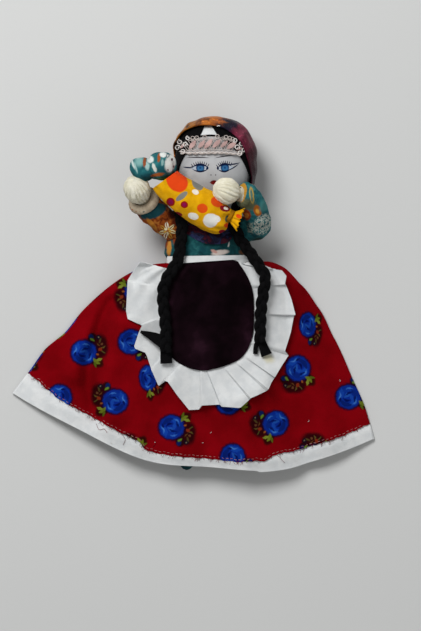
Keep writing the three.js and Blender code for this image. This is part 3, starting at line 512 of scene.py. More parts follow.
def thread_cloth(name, dark, light):
    """Fine thread of one dye."""
    return plain_cloth(name, dark, light, COTTON, 0.3, 0.03)


# The rose spray, about the rose's heart: dark backing, petals and leaves, and berries
ROSE_BACKING = [
    ((11.6, 4.2), (5.4, 8.6), 6, 0.28, "2c0408"), ((6.0, 10.2), (3.4, 3.6), 0, 0.25, "24060c"),
    ((9.2, -6.6), (5.0, 3.6), -30, 0.25, "300806"), ((0, 0), (9.9, 9.6), 0, 0.1, "160420"),
    ((0, 0), (8.7, 8.4), 0, 0.09, "0a2884"),
]
ROSE_STROKES = [
    ((-4.6, 2.4), 4.6, 62, 1.6, 1.9, "113c98"), ((1.0, 5.0), 4.8, -8, -1.6, 1.8, "0c3088"),
    ((5.2, 1.2), 4.4, -72, -1.6, 1.7, "0a2474"), ((3.2, -4.4), 4.4, 36, 1.5, 1.8, "113e9c"),
    ((-3.0, -4.9), 4.6, -30, 1.6, 1.8, "081e66"), ((-0.4, 1.5), 2.8, 8, -1.3, 1.4, "1a489c"),
    ((2.2, -0.8), 2.4, -78, -1.0, 1.2, "143e98"), ((-2.0, -2.2), 3.0, -24, 1.2, 0.8, "041050"),
    ((0.8, 2.6), 3.0, 14, -0.8, 0.7, "051458"), ((-6.0, -0.6), 2.6, 84, 0.7, 0.6, "051250"),
    ((4.0, -2.6), 2.6, 70, -0.7, 0.6, "061656"), ((-5.4, 1.6), 2.4, 72, 0.9, 0.6, "3a6cb8"),
    ((1.6, 5.9), 2.4, -8, -0.8, 0.6, "3264b2"), ((3.8, -5.0), 2.2, 34, 0.8, 0.5, "3668b4"),
    ((8.6, -6.2), 3.2, -42, 0.5, 1.3, "626e1c"), ((10.8, -5.0), 2.2, 6, 0.3, 1.0, "76802a"),
    ((8.0, -8.6), 2.0, -78, 0.3, 0.9, "4e5a14"), ((5.6, 9.2), 2.2, -50, 0.3, 0.8, "5c7a24"),
    ((11.4, 8.4), 2.2, 70, 0.4, 0.6, "4a3a1c"), ((13.6, 3.6), 2.0, 20, 0.4, 0.6, "57481f"),
    ((10.2, 5.2), 1.6, -40, 0.3, 0.5, "5a3a1a"), ((13.2, 0.4), 1.9, -30, 0.3, 0.5, "4f4a20"),
]
ROSE_SPOTS = [
    ((11.6, 2.0), (1.3, 1.2), 0, 0.35, "7a2a14"), ((9.8, -1.2), (0.8, 0.7), 0, 0.4, "8a4a1c"),
    ((12.6, 6.2), (0.9, 0.8), 0, 0.4, "5f3a24"), ((5.0, 11.4), (1.5, 1.5), 0, 0.3, "0a1c50"),
    ((10.2, 10.6), (1.6, 1.6), 0, 0.3, "120a18"), ((10.4, 10.4), (0.6, 0.6), 0, 0.4, "6a5a48"),
]
# How the motif's lines wander: scale and reach, coarse and fine; and the softness of its brush
ROSE_WANDER = [(0.35, 0.9), (1.3, 0.5)]
ROSE_BRUSH = 0.4


def rose_print():
    """Deep red cotton with scattered blue roses; the motif map has its origin at each rose's heart."""
    paint = Paint("red_rose_cotton", DYED_COTTON)
    motif = paint.node("UVMap", uv_map="motif").outputs[0]
    for scale, reach in ROSE_WANDER:
        motif = paint.drift(motif, scale, reach)
    colour = paint.ramp(paint.noise(paint.place, 0.05, 3.0), [(0.3, "720209"), (0.7, "82030d")])
    colour = paint.spots(colour, motif, ROSE_BACKING)
    colour = paint.strokes(colour, motif, ROSE_STROKES, ROSE_BRUSH)
    colour = paint.spots(colour, motif, ROSE_SPOTS)
    return paint.cloth(colour, pitch=0.55, relief=0.06, fade=0.2)


# Flowers on the cloth that is turned away: spacing, radius, petals, the share of points with one, colours
FLOWER_SPACING = 12
FLOWER_RADIUS = 4.4
FLOWER_PETALS = 5
FLOWER_SHARE = 0.55
FLOWER_CODES = ("c4c2b6", "b06a3c")


def scattered_flowers(paint, colour):
    """Prints a flower at some of the scattered points of the flat cloth."""
    about, random = paint.cells(paint.flat, 1 / FLOWER_SPACING)
    masks = paint.flower(about, (0, 0), FLOWER_RADIUS, FLOWER_PETALS)
    chosen = paint.chosen(random[0], FLOWER_SHARE)
    return paint.layer(colour, [(paint.both(mask, chosen), code) for mask, code in zip(masks, FLOWER_CODES)])


def teal_ground(paint):
    """Teal dye with darker and paler brush marks."""
    mottle = paint.noise(paint.place, 0.2, 3.0, 0.8)
    return paint.ramp(mottle, [(0.30, "18474e"), (0.46, "215d63"), (0.62, "2c7074"), (0.78, "4f8785")])


def teal_ground_painted_shade(paint):
    """The same dye on the bodice, scaled darker as painted shade."""
    return paint.scale(teal_ground(paint), 0.56)


def rust_ground(paint):
    """Rust dye with brown shadows."""
    mottle = paint.noise(paint.place, 0.3, 3.0, 0.8)
    return paint.ramp(mottle, [(0.35, "5a240d"), (0.50, "8a4216"), (0.66, "a8662a")])


# Patches of each print as pixels of the photograph, among them a painted shadow on the left sleeve and a
# painted highlight on the bonnet: place, half sizes, turn, softness and colour
BODICE_PATCHES = [
    ((220, 252.6), (8.4, 2.7), -8, 0.25, "c9bdb6"), ((214, 251.5), (3.4, 1.6), 20, 0.3, "b98f86"),
    ((228.8, 244.5), (0.8, 2.6), 15, 0.3, "dcdcd6"), ((243, 252.5), (4.2, 2.4), 10, 0.4, "6b4630"),
    ((169, 247), (2.2, 9.5), 0, 0.3, "b97e33"), ((166, 242), (2.0, 6.0), 8, 0.4, "7c3512"),
    ((176, 240), (3.0, 5.0), 10, 0.4, "7c3512"), ((203, 250), (4.0, 2.2), 30, 0.4, "14424a"),
]
LEFT_SLEEVE_PRINT_AND_SHADOW = [
    ((153.5, 211.5), (14.0, 7.0), -22, 0.12, "17424a"), ((150, 206.5), (7.5, 1.2), -22, 0.3, "35686b"),
    # This dark maroon oval is painted shadow.
    ((173.5, 213), (5.2, 6.6), 20, 0.3, "3f120e"),
    ((152, 224.5), (2.4, 7.2), -42, 0.3, "b57428"), ((160.5, 238), (1.9, 6.4), -22, 0.3, "b87a2c"),
    ((172, 248), (5.6, 8.0), 0, 0.25, "266468"), ((175, 222.5), (3.4, 3.6), 0, 0.4, "5f220f"),
]
RIGHT_SLEEVE_PATCHES = [
    ((247, 205), (9.0, 5.4), 10, 0.35, "5f6248"), ((242, 193), (4.4, 9.6), 12, 0.12, "b5842c"),
    ((241, 195.6), (2.7, 7.0), 12, 0.2, "b4b8ae"), ((251.6, 195.6), (2.3, 8.4), -8, 0.15, "bb9c4a"),
    ((251.4, 196), (1.2, 6.4), -8, 0.3, "567a73"), ((246, 215), (4.4, 5.4), -30, 0.15, "8c3815"),
    ((246.6, 215.6), (2.0, 2.8), -30, 0.3, "c07228"), ((257.4, 211), (3.8, 5.4), -20, 0.15, "a55a1c"),
    ((257.6, 211.6), (1.7, 2.6), -20, 0.3, "d69a3a"), ((259.5, 242), (7.6, 4.6), 0, 0.4, "26352f"),
    ((264, 205.5), (4.4, 6.4), 25, 0.4, "44807f"),
]
RIGHT_SLEEVE_LACE = [
    ((262.6, 224.4), (8.4, 11.0), 32, 0.15, "a9afa5"), ((251, 228.5), (4.4, 5.4), 0, 0.3, "8f9a8f"),
]
BONNET_PRINT_AND_HIGHLIGHT = [
    # The first, pale teal oval on this line is a painted highlight.
    ((139.4, 161.6), (4.4, 5.0), 0, 0.6, "7aa5a2"), ((148.4, 178), (6.0, 4.0), 0, 0.5, "17434b"),
    ((163.4, 170.4), (5.4, 4.2), 0, 0.5, "1c515a"), ((133.2, 164.4), (1.1, 5.6), -18, 0.35, "bccac6"),
    ((136.2, 168.6), (0.9, 5.4), -14, 0.35, "95b5b1"), ((139.4, 157.4), (4.0, 1.3), -14, 0.35, "c2ceca"),
    ((147.4, 166.4), (2.2, 4.2), -6, 0.4, "9dbdb9"), ((144.8, 162.4), (1.8, 5.0), 4, 0.25, "8c4b2c"),
    ((150.6, 160), (3.3, 3.5), 0, 0.25, "d0d8d4"), ((154.6, 168.4), (1.9, 4.6), -18, 0.25, "d0d4cc"),
    ((159.2, 158.2), (1.6, 4.8), 6, 0.25, "984e26"), ((163.4, 155.2), (3.4, 2.8), 10, 0.3, "d8dcd8"),
    ((158, 175.4), (6.6, 1.7), -10, 0.3, "9c5428"), ((162.6, 163), (1.4, 3.2), 10, 0.4, "86a9a6"),
    ((170.6, 163.6), (5.2, 9.2), 15, 0.2, "d0d0cb"), ((168.2, 156.2), (1.7, 1.9), 0, 0.2, "33525a"),
    ((168.2, 156.2), (1.0, 1.2), 0, 0.3, "d4d6d2"), ((172.4, 160), (0.9, 1.4), 0, 0.3, "512a36"),
    ((174, 167), (0.8, 1.2), 0, 0.3, "63303e"), ((168, 170.4), (1.0, 0.8), 0, 0.3, "5a3a40"),
]

# A lacy petal's two strokes, as shares of the flower's radius: middle, half length, distance apart and bend;
# then the half width of their line in pixels, and the first petal's turn
PETAL_MIDDLE = 0.6
PETAL_HALF = 0.4
PETAL_APART = 0.13
PETAL_BEND = 0.11
PETAL_LINE = 0.62
FIRST_PETAL = 9


def lacy_flower(place, radius, petals, codes):
    """Strokes of a flower whose petals are drawn as thin loops."""
    strokes = []
    for petal in range(petals):
        turn = 360 * petal / petals + FIRST_PETAL
        code = codes[petal % len(codes)]
        way = np.array([math.cos(math.radians(turn)), math.sin(math.radians(turn))])
        across = np.array([-way[1], way[0]])
        for side in (-1, 1):
            centre = np.array(place) + radius * (PETAL_MIDDLE * way + PETAL_APART * side * across)
            bend = -PETAL_BEND * radius * side
            strokes.append((tuple(centre), PETAL_HALF * radius, turn, bend, PETAL_LINE, code))
    return strokes


# How a print's patches wander, the noise that breaks up its lace and where that is open, and its brush
PRINT_WANDER = (0.22, 1.1)
LACE_NOISE = (0.55, 3.0)
LACE_OPEN = (0.44, 0.52)
PRINT_BRUSH = 0.2


def printed(name, ground, patches, broken=(), strokes=()):
    """Printed cotton: patches laid where it faces up, and scattered flowers behind."""
    paint = Paint(name, COTTON)
    base = ground(paint)
    behind = scattered_flowers(paint, base)
    view = paint.drift(paint.view(), *PRINT_WANDER)
    # On some prints these patches include painted shadow and painted highlight.
    colour = paint.spots(base, view, patches)
    lacy = paint.step(paint.noise(view, *LACE_NOISE), *LACE_OPEN)
    lace = [(paint.both(paint.spot(view, *shape), lacy), code) for *shape, code in broken]
    colour = paint.strokes(paint.layer(colour, lace), view, strokes, PRINT_BRUSH)
    return paint.cloth(paint.mix(paint.front(), behind, colour))


# The scarf's colours from the left of the crown to the right cheek, over a slanting span of millimetres
SCARF_TONES = [
    (0.00, "1c0f0a"), (0.05, "9a5f1e"), (0.11, "5a2c10"), (0.15, "b06522"), (0.24, "8f4a1a"),
    (0.30, "15121f"), (0.37, "1a1426"), (0.41, "5a172c"), (0.47, "7a2f44"), (0.52, "4c1024"),
    (0.60, "5c1a2e"), (0.68, "380a18"), (0.85, "2a0714"), (1.00, "1a050d"),
]
SCARF_SPAN = 68
SCARF_WANDER = 16.0
SATIN_WEAVE = {"pitch": 0.35, "relief": 0.02}


def satin_print_and_highlight():
    """Scarf satin: orange over the crown, navy, then pink and maroon towards the right cheek, with painted
    highlights in patches.
    """
    paint = Paint("scarf_satin", SATIN)
    x, y, _ = paint.axes(paint.vector("SUBTRACT", paint.place, tuple(HEAD_CENTRE)))
    slant = paint.math("MULTIPLY", paint.math("SUBTRACT", x, y), 0.7)
    wander = paint.noise(paint.place, 0.16, 4.0, 1.0)
    place = paint.math("MULTIPLY_ADD", wander, SCARF_WANDER, slant)
    start = 0.5 - SCARF_WANDER / 2 / SCARF_SPAN
    share = paint.math("MULTIPLY_ADD", place, 1 / SCARF_SPAN, start)
    colour = paint.ramp(share, SCARF_TONES, "LINEAR")
    # Painted highlight: where this noise is high the colour is painted twice as light.
    painted_highlight = paint.noise(paint.place, 0.22, 2.0, 1.2)
    colour = paint.mix(paint.step(painted_highlight, 0.58, 0.70), colour, paint.scale(colour, 2.0))
    return paint.cloth(colour, **SATIN_WEAVE)


def scarf_end_print():
    """The same satin where it crosses the chest: navy and purple with maroon."""
    paint = Paint("scarf_end_satin", SATIN)
    wander = paint.noise(paint.place, 0.1, 3.0, 1.0)
    colour = paint.ramp(wander, [
        (0.30, "14121f"), (0.42, "2c3358"), (0.50, "1a1428"), (0.57, "4e1626"), (0.63, "1d1a34"),
        (0.70, "3a3d5c"),
    ])
    return paint.cloth(colour, **SATIN_WEAVE)


# Spots of the baby's blanket, in its own frame: place, half sizes, turn and colour
BLANKET_SPOTS = [
    ((7.4, 2.7), (8.6, 6.8), -20, "dc4414"), ((20.9, 8.3), (5.0, 3.6), -24, "7f7e76"),
    ((15.7, -5.0), (4.8, 1.9), 68, "7f7e76"), ((11.0, -12.2), (3.1, 2.9), 0, "921210"),
    ((11.0, -12.2), (1.8, 1.6), 0, "840e4a"), ((20.2, -9.1), (2.6, 2.5), 0, "921210"),
    ((20.2, -9.1), (1.5, 1.4), 0, "840e4a"), ((22.5, 2.5), (2.5, 1.7), 10, "e6ded0"),
    ((32.4, -5.0), (3.8, 3.3), 20, "d64c12"), ((29.6, -12.9), (3.7, 2.3), 15, "e2dfd6"),
    ((41.6, -9.4), (5.2, 4.8), 40, "e2e0da"), ((44.6, -6.4), (2.8, 2.4), 10, "e2e0da"),
    ((38.9, 3.8), (4.4, 3.4), 0, "d84c14"), ((46.0, 2.9), (3.6, 2.2), 20, "86141e"),
    ((46.6, 3.4), (1.6, 1.0), 20, "e6ded0"), ((19.5, -17.2), (3.4, 1.5), 20, "80101c"),
    ((50.8, -2.6), (1.3, 2.4), 20, "55644f"), ((53.2, -6.6), (2.2, 1.6), 30, "d84c14"),
    ((52.6, -12.0), (2.6, 1.3), 30, "86141e"), ((57.0, 3.0), (2.0, 1.4), 0, "d84c14"),
]
BLANKET_SOFT = 0.08
# Scattered spots on its underside: half sizes, the share of points that have one, and colour
BLANKET_UNDER = [((3.4, 3.0), 0.45, "d24412"), ((2.6, 2.2), 0.33, "e2dfd6"), ((2.2, 1.9), 0.23, "84102c")]
BLANKET_SPACING = 11
# The heights between which the underside gives way to the laid-out spots
BLANKET_SIDE = (-4.5, -3.5)


def yellow_print():
    """Yellow cotton with round spots, laid out over the baby from its open end."""
    paint = Paint("yellow_spot_cotton", COTTON)
    baby = paint.node("Mapping", vector_type="TEXTURE")
    paint.feed(baby.inputs["Vector"], paint.place)
    baby.inputs["Location"].default_value = tuple(BABY_NECK)
    baby.inputs["Rotation"].default_value = (0, 0, BABY_TURN)
    place = baby.outputs[0]
    flat = paint.drift(place, 0.25, 0.35)
    ground = paint.mottle("d49a05", "e2a80c", 0.2, 2.0)
    about, random = paint.cells(paint.flat, 1 / BLANKET_SPACING)
    scattered = [
        (paint.both(paint.spot(about, (0, 0), size), paint.chosen(random[part], share)), code)
        for part, (size, share, code) in enumerate(BLANKET_UNDER)
    ]
    behind = paint.layer(ground, scattered)
    spots = [(*shape, BLANKET_SOFT, code) for *shape, code in BLANKET_SPOTS]
    face_up = paint.step(paint.axes(place)[2], *BLANKET_SIDE)
    return paint.cloth(paint.mix(face_up, behind, paint.spots(ground, flat, spots)))


# Printed eyes about the head's centre. Lens: place, half length and turn. Lid: the same and its bend.
# Strokes, for the lower line, the wings and the inner corner: place, half length, turn, bend and half width.
EYES = [
    {
        "lens": ((-10.4, -4.1), 6.5, 0), "iris": (-10.1, -3.9), "lid": ((-10.0, -1.6), 6.1, -1, -2.3),
        "strokes": [
            ((-10.0, -6.5), 5.9, 1, 2.0, 0.62), ((-18.6, -3.7), 4.0, -5, 0.2, 0.5),
            ((-5.2, -4.2), 1.4, 75, 0.2, 0.8), ((-15.2, -2.9), 1.9, 14, 0.2, 0.3),
        ],
    },
    {
        "lens": ((7.5, -3.9), 5.7, 6), "iris": (7.1, -3.8), "lid": ((6.7, -1.3), 5.3, 7, -2.3),
        "strokes": [
            ((6.9, -6.5), 5.0, 4, 2.1, 0.62), ((13.4, -1.3), 4.7, 9, 0.5, 0.5),
            ((13.4, -3.6), 4.7, 33, 0.3, 0.42), ((2.2, -4.2), 1.3, 100, 0.2, 0.8),
        ],
    },
]
INK = "0d1836"
EYE_WHITE = "aeb8c4"
LENS_HALF_HEIGHT = 2.6
LENS_SOFT = 0.15
LID_HALF_WIDTH = 0.8
# The iris, its lighter ring and its pupil: place about the iris, half sizes, softness and colour
IRIS = [
    ((0, 0), (2.95, 3.1), 0.1, "123058"), ((0.1, -0.5), (2.2, 1.9), 0.4, "356a98"),
    ((0, 0), (0.8, 0.8), 0.5, "1e4472"),
]
# Lashes: their number, the part of the lid that they stand on, how far they fan out, and the distance of
# their middle from the lid, half length, bend and half width
LASHES = 9
LASH_SPAN = (-0.85, 0.8)
LASH_FAN = 38
LASH_MIDDLE = 1.1
LASH_HALF = 1.45
LASH_BEND = 0.1
LASH_WIDTH = 0.3


def eye_masks(paint, face, eye):
    """An almond of white with a broad iris, cut by thick lids, with short lashes above."""
    lens = paint.brush(face, *eye["lens"], 0.0, LENS_HALF_HEIGHT, LENS_SOFT)
    x, y = eye["iris"]
    masks = [(lens, EYE_WHITE)]
    for (aside, above), size, soft, code in IRIS:
        ring = paint.spot(face, (x + aside, y + above), size, 0, soft)
        masks.append((paint.both(lens, ring), code))
    masks.append((paint.brush(face, *eye["lid"], LID_HALF_WIDTH), INK))
    masks += [(paint.brush(face, *stroke), INK) for stroke in eye["strokes"]]
    (lid_x, lid_y), half, turn, bend = eye["lid"]
    slope = math.radians(turn)
    for share in np.linspace(*LASH_SPAN, LASHES):
        along, rise = half * share, bend * share**2
        way = math.radians(90 - LASH_FAN * share + turn)
        lash_x = lid_x + along * math.cos(slope) - rise * math.sin(slope) + LASH_MIDDLE * math.cos(way)
        lash_y = lid_y + along * math.sin(slope) + rise * math.cos(slope) + LASH_MIDDLE * math.sin(way)
        lash = paint.brush(face, (lash_x, lash_y), LASH_HALF, math.degrees(way), LASH_BEND, LASH_WIDTH)
        masks.append((lash, INK))
    return masks


# The rest of the face, about the head's centre: where its upper part, painted whiter as painted light,
# begins, brows, nostrils and lips
FOREHEAD_PAINTED_LIGHT = (17.2, 18.2)
BROWS = [((-11.6, 3.4), 8.7, -1, -0.3, 0.42, "3c373c"), ((7.1, 4.2), 7.4, 8, -0.3, 0.42, "3c373c")]
NOSTRILS = [((-2.6, -8.9), (0.45, 0.38), 0, 0.4, "332a2e"), ((0.6, -8.9), (0.45, 0.38), 0, 0.4, "332a2e")]
LIPS = [((-0.8, -13.4), 2.9, 8, -0.5, 0.85, "5f1012"), ((-0.8, -14.8), 2.3, 8, 0.5, 0.85, "741a18")]
# How far over the head's middle the print fades in
FACE_FADE = 2


def face_cloth():
    """Pale head cloth with its printed eyes, brows, nostrils and lips, and painted light that whitens its
    upper part.
    """
    paint = Paint("printed_face_cloth", COTTON)
    ground = paint.mottle("adaeb0", "b5b6b8", 0.12, 2.0)
    face = paint.local(paint.place, tuple(HEAD_CENTRE[:2]))
    # Painted light: the upper part of the head cloth is painted whiter.
    colour = paint.layer(ground, [(paint.step(paint.axes(face)[1], *FOREHEAD_PAINTED_LIGHT), "d6d9d9")])
    colour = paint.strokes(colour, face, BROWS)
    colour = paint.spots(colour, face, NOSTRILS)
    colour = paint.strokes(colour, face, LIPS)
    for eye in EYES:
        colour = paint.layer(colour, eye_masks(paint, face, eye))
    front = paint.step(paint.axes(paint.place)[2], HEAD_CENTRE[2], HEAD_CENTRE[2] + FACE_FADE)
    return paint.cloth(paint.mix(front, ground, colour), pitch=0.4, relief=0.03)


def black_cloth():
    """Black jersey for the hair: nearly black, with fine ribs."""
    paint = Paint("black_jersey", JERSEY)
    return paint.cloth(paint.mottle("040405", "09080a", 0.6), pitch=0.7, relief=0.09)


def velvet():
    """Plum velvet with brushed patches in its pile."""
    paint = Paint("plum_velvet", VELVET)
    brushed = paint.noise(paint.place, 0.045, 5.0)
    colour = paint.ramp(brushed, [(0.36, "0b0407"), (0.56, "170910"), (0.74, "2c1622")])
    return paint.cloth(colour, pitch=0.6, relief=0.08, fade=0.3)


# The stain on the frill in the photo: place, half sizes, turn and softness
STAIN = ((268, 358), (6.5, 4.0), 30, 0.6)


def white_cloth():
    """White cotton with a faint yellow stain on the frill."""
    paint = Paint("white_cotton", COTTON)
    stain = paint.spot(paint.drift(paint.view(), 0.15, 2.0), *STAIN)
    colour = paint.mottle("d2d5d6", "dcdede")
    return paint.cloth(paint.mix(paint.both(stain, paint.front()), colour, "d0ccb4"))


# The lacy flower on the left sleeve, in the photo: a large ring of petals round a small one
SLEEVE_FLOWER = (167.4, 231)
SLEEVE_FLOWER_STROKES = [
    *lacy_flower(SLEEVE_FLOWER, 9.0, 7, ("d6cb9a", "bd8a34", "e0dac0")),
    *lacy_flower(SLEEVE_FLOWER, 4.2, 5, ("c99f48", "d8d0a4")),
]

MATERIALS = {
    "red": rose_print(),
    "white": white_cloth(),
    "velvet": velvet(),
    "black": black_cloth(),
    "face": face_cloth(),
    "skin": plain_cloth("plain_head_cloth", "adacab", "b6b5b4"),
    "cream": plain_cloth("cream_muslin", "e2ddc6", "eeead8", COTTON, 0.45, 0.06),
    "beige": plain_cloth("pale_cuff_cloth", "9c8e7a", "b4a690"),
    "satin": satin_print_and_highlight(),
    "satin_end": scarf_end_print(),
    "bodice": printed("teal_bodice_cotton", teal_ground_painted_shade, BODICE_PATCHES),
    "left_sleeve": printed(
        "rust_and_teal_cotton", rust_ground, LEFT_SLEEVE_PRINT_AND_SHADOW, strokes=SLEEVE_FLOWER_STROKES,
    ),
    "right_sleeve": printed("teal_sleeve_cotton", teal_ground, RIGHT_SLEEVE_PATCHES, RIGHT_SLEEVE_LACE),
    "bonnet": printed("teal_bonnet_cotton", teal_ground, BONNET_PRINT_AND_HIGHLIGHT),
    "yellow": yellow_print(),
    "lace": thread_cloth("cream_lace_thread", "b2a6a0", "cabfb9"),
    "lace_white": thread_cloth("white_lace_thread", "cdc6c2", "e0dad6"),
    "lace_pink": thread_cloth("pink_lace_thread", "a88a86", "bf9f9a"),
    "cream_thread": thread_cloth("cream_thread", "b4ac94", "c8c0aa"),
    "ochre_thread": thread_cloth("ochre_thread", "8a5c08", "a8740c"),
    "stitch": thread_cloth("pale_stitch_thread", "a05a5c", "c08a88"),
    "fray": thread_cloth("red_loose_thread", "5a020a", "7c0613"),
    "lint": thread_cloth("white_lint", "c8c4c0", "dcd8d4"),
    "leg": plain_cloth("dark_teal_leg_cloth", "123a3f", "1d5055"),
}

# Camera: straight above the doll, with a long lens; sensor in millimetres of film, range in metres
CAMERA_DISTANCE = 7000
FOCUS_LEVEL = 30
SENSOR_WIDTH = 36
CAMERA_RANGE = 20
PHOTO_MIDDLE = pixels([(PHOTO_SIZE[0] / 2, PHOTO_SIZE[1] / 2)])[0]
camera_data = bpy.data.cameras.new("camera")
camera = bpy.data.objects.new("camera", camera_data)
bpy.context.scene.collection.objects.link(camera)
camera_data.sensor_width = SENSOR_WIDTH
camera_data.lens = SENSOR_WIDTH * CAMERA_DISTANCE / (PHOTO_SIZE[1] * PIXEL)
camera_data.clip_end = CAMERA_RANGE
camera.location = metres((*PHOTO_MIDDLE, CAMERA_DISTANCE + FOCUS_LEVEL))
bpy.context.scene.camera = camera

# Braids: three jersey strands each, with loose strip ends
BRAID_PITCH = 25
BRAID_SWAY = 2.15
BRAID_RISE = 1.1
BRAID_STEPS = 200
STRANDS = 3
STRAND_RADIUS = 2.2
STRAND_SIDES = 12
# Size and height of the strands' wrinkles
STRAND_WRINKLE = (3, 0.22)
# The heights in the view between which a plait settles on the apron
SETTLED = (4, 18)
STRIP_STEPS = 24
STRIP_COLUMNS = 9
STRIP_CLOTH = 1.1
STRIP_CURL = 0.5


def strip(form, points, half_widths):
    """A flat strip of cloth along a path, with its edges curled down a little."""
    path = curve_through(points, STRIP_STEPS)
    side = unit(np.cross(unit(np.gradient(path, axis=0)), (0, 0, 1)))
    widths = np.interp(np.linspace(0, 1, len(path)), np.linspace(0, 1, len(half_widths)), half_widths)
    across = np.linspace(-1, 1, STRIP_COLUMNS)
    middle = path[:, None] + side[:, None] * (widths[:, None] * across)[..., None]
    middle[..., 2] -= STRIP_CURL * across**2
    return form.shell(middle, STRIP_CLOTH)


def braid(name, route, settle, strips, body, nodes):
    """A plait along a route, whose lower part settles on the apron, and its loose strip ends."""
    path = curve_through(route, BRAID_STEPS)
    path[:, 2] -= settle * (1 - smoothstep(path[:, 1], *SETTLED))
    run = np.concatenate([[0], np.cumsum(np.linalg.norm(np.diff(path, axis=0), axis=1))])
    tangent = unit(np.gradient(path, axis=0))
    side = unit(np.cross(tangent, (0, 0, 1)))
    above = np.cross(side, tangent)
    form = Form()
    for strand in range(STRANDS):
        phase = 2 * math.pi * (run / BRAID_PITCH + strand / STRANDS)
        sway = BRAID_SWAY * np.sin(phase)[:, None]
        rise = BRAID_RISE * np.sin(2 * phase)[:, None]
        line = path + side * sway + above * rise
        form.tube(line, STRAND_RADIUS + wrinkle(line, *STRAND_WRINKLE, strand), STRAND_SIDES)
    piece = dress(form, name, "black", body, "black_cloth", nodes[0])
    ends = Form()
    for points, half_widths in strips:
        strip(ends, points, half_widths)
    tails = dress(ends, name + "_ends", "black", body, "black_cloth", nodes[1])


braid("left_braid_plait", LEFT_BRAID, 1.35, [
    ([(-19.2, -38, 33.4), (-18.9, -43, 32.7), (-18.6, -48.6, 31.8)], (3.3, 3.9, 4.1)),
    ([(-20, -36, 34.0), (-24, -32, 32.4), (-30, -29, 30.7), (-36.6, -26.4, 29.4)], (3.2, 3.9, 2.4, 0.5)),
], "left_braid", ("braid_left", "braid_left_tails"))
braid("right_braid_plait", RIGHT_BRAID, 0.7, [
    ([(46.6, -31, 31.5), (44.2, -36, 30.7), (43.6, -42, 29.9)], (1.6, 1.4, 1.3)),
    ([(47.4, -31, 31.7), (49.2, -36.5, 30.8), (51.6, -42.8, 29.4)], (2.6, 3.0, 3.9)),
], "right_braid", ("braid_right", "braid_right_tails"))

# Skirt: u runs from -1 at the left of the view to 1 at the right, v from waist to hem
SKIRT_COLUMNS = 230
SKIRT_ROWS = 120
SKIRT_CLOTH = 0.9
HEM_CLOTH = 0.8
# How the sides flare from the waist, and how the middle moves from the waist's to the hem's
SKIRT_FLARE = 0.52
MIDDLE_POWER = 2.2
# How far the hem rises at the sides, and how it slants
SIDE_RISE = 35
HEM_SLANT = 16
# How far the skirt rises at the right of the waistband
WAIST_STEP = 3.4
# The sides' height over the floor, how fast they fall to it, and half the gap there between front and back
EDGE_HEIGHT = 1.7
EDGE_POWER = 8
EDGE_GAP = 0.75
# The crown's height at the hem and its rise to the waist, how the front's roundness changes from waist to
# hem and how fast, and where the hem's drop begins
HEM_CROWN = 20.5
WAIST_CROWN = 18.7
CROWN_POWER = 1.3
ROUNDNESS = (0.5, 1.15)
ROUND_RATE = 2.5
DROP_FROM = 0.925
# The back's height in its middle, and its small rise at the waist
BACK_HEIGHT = 2.1
BACK_RISE = 0.3
BACK_POWER = 20
# Gathers at the waist: height, number across and slant
GATHER_HEIGHT = 0.7
GATHERS = 34
GATHER_SLANT = 9
# Steps in finding a height, and how near to the sides it is looked for
HALVINGS = 24
NEAR_SIDE = 0.94
# How far the cloth turns out past the sides
SIDE_TURN = 0.8
# Listed folds: a line of places in u and v, half width and height
FOLDS = [
    ([(-0.91, 0.26), (-0.86, 0.37), (-0.8, 0.51), (-0.75, 0.64), (-0.69, 0.75), (-0.58, 0.9)], 6, -6),
    ([(-0.93, 0.36), (-0.89, 0.49), (-0.85, 0.61), (-0.79, 0.73)], 7, 4.5),
    ([(-0.69, 0.38), (-0.65, 0.55), (-0.6, 0.71), (-0.5, 0.85)], 9, 5),
    ([(0.2, 0.68), (0.32, 0.65), (0.42, 0.61), (0.52, 0.55)], 9, 4),
    ([(-0.26, 0.74), (-0.23, 1)], 9, -2.6),
    ([(0.03, 0.76), (0.05, 1)], 10, -2),
    ([(0.28, 0.76), (0.29, 1)], 8, 2.6),
    ([(0.51, 0.58), (0.58, 0.8), (0.62, 1)], 8, -3),
    ([(0.77, 0.35), (0.79, 0.93)], 10, 2),
]
# How far the outline stands out on each side, and how the hem's edge waves, in millimetres
LEFT_OUTLINE = [[0, 0], [0.35, 0], [0.52, -1.8], [0.67, 2.2], [0.85, 0.6], [1, 0]]
RIGHT_OUTLINE = [
    [0, 1], [0.05, 2.5], [0.12, 3], [0.25, 0.5], [0.42, -2.2], [0.62, -2.6], [0.85, -0.5], [1, 0],
]
HEM_WAVE = [
    [-1, 0], [-0.677, 1.8], [-0.25, -2.2], [0.088, 0.9], [0.34, -1.5], [0.408, -2.9], [0.493, -3],
    [0.663, -1.3], [0.833, -0.5], [1, 0],
]
# How wide a band of the hem shows under the red cloth, in millimetres
HEM_WIDTHS = [
    [-0.95, 13.9], [-0.872, 12.5], [-0.789, 11], [-0.594, 11.3], [-0.339, 10.7], [-0.267, 6.6],
    [0.089, 5.9], [0.239, 5.4], [0.383, 7.4], [0.483, 11.4], [0.661, 10.7], [0.833, 10.2], [0.972, 10.6],
]
# How the raw end wanders: height, turns across and start
RAW_WANDER = [(0.0016, 83, 0), (0.0012, 191, 1)]


def skirt_x(u, v):
    """The skirt's place across the view."""
    half = WAIST_HALF_WIDTH + (HEM_HALF_WIDTH - WAIST_HALF_WIDTH) * v**SKIRT_FLARE
    out = np.where(u > 0, through(RIGHT_OUTLINE, v), -through(LEFT_OUTLINE, v)) * u * u
    return WAIST[0] * (1 - v**MIDDLE_POWER) + half * u + out


def skirt_reach(u):
    """How far the skirt reaches down from the waist."""
    return SKIRT_LENGTH - SIDE_RISE * u * u + HEM_SLANT * u


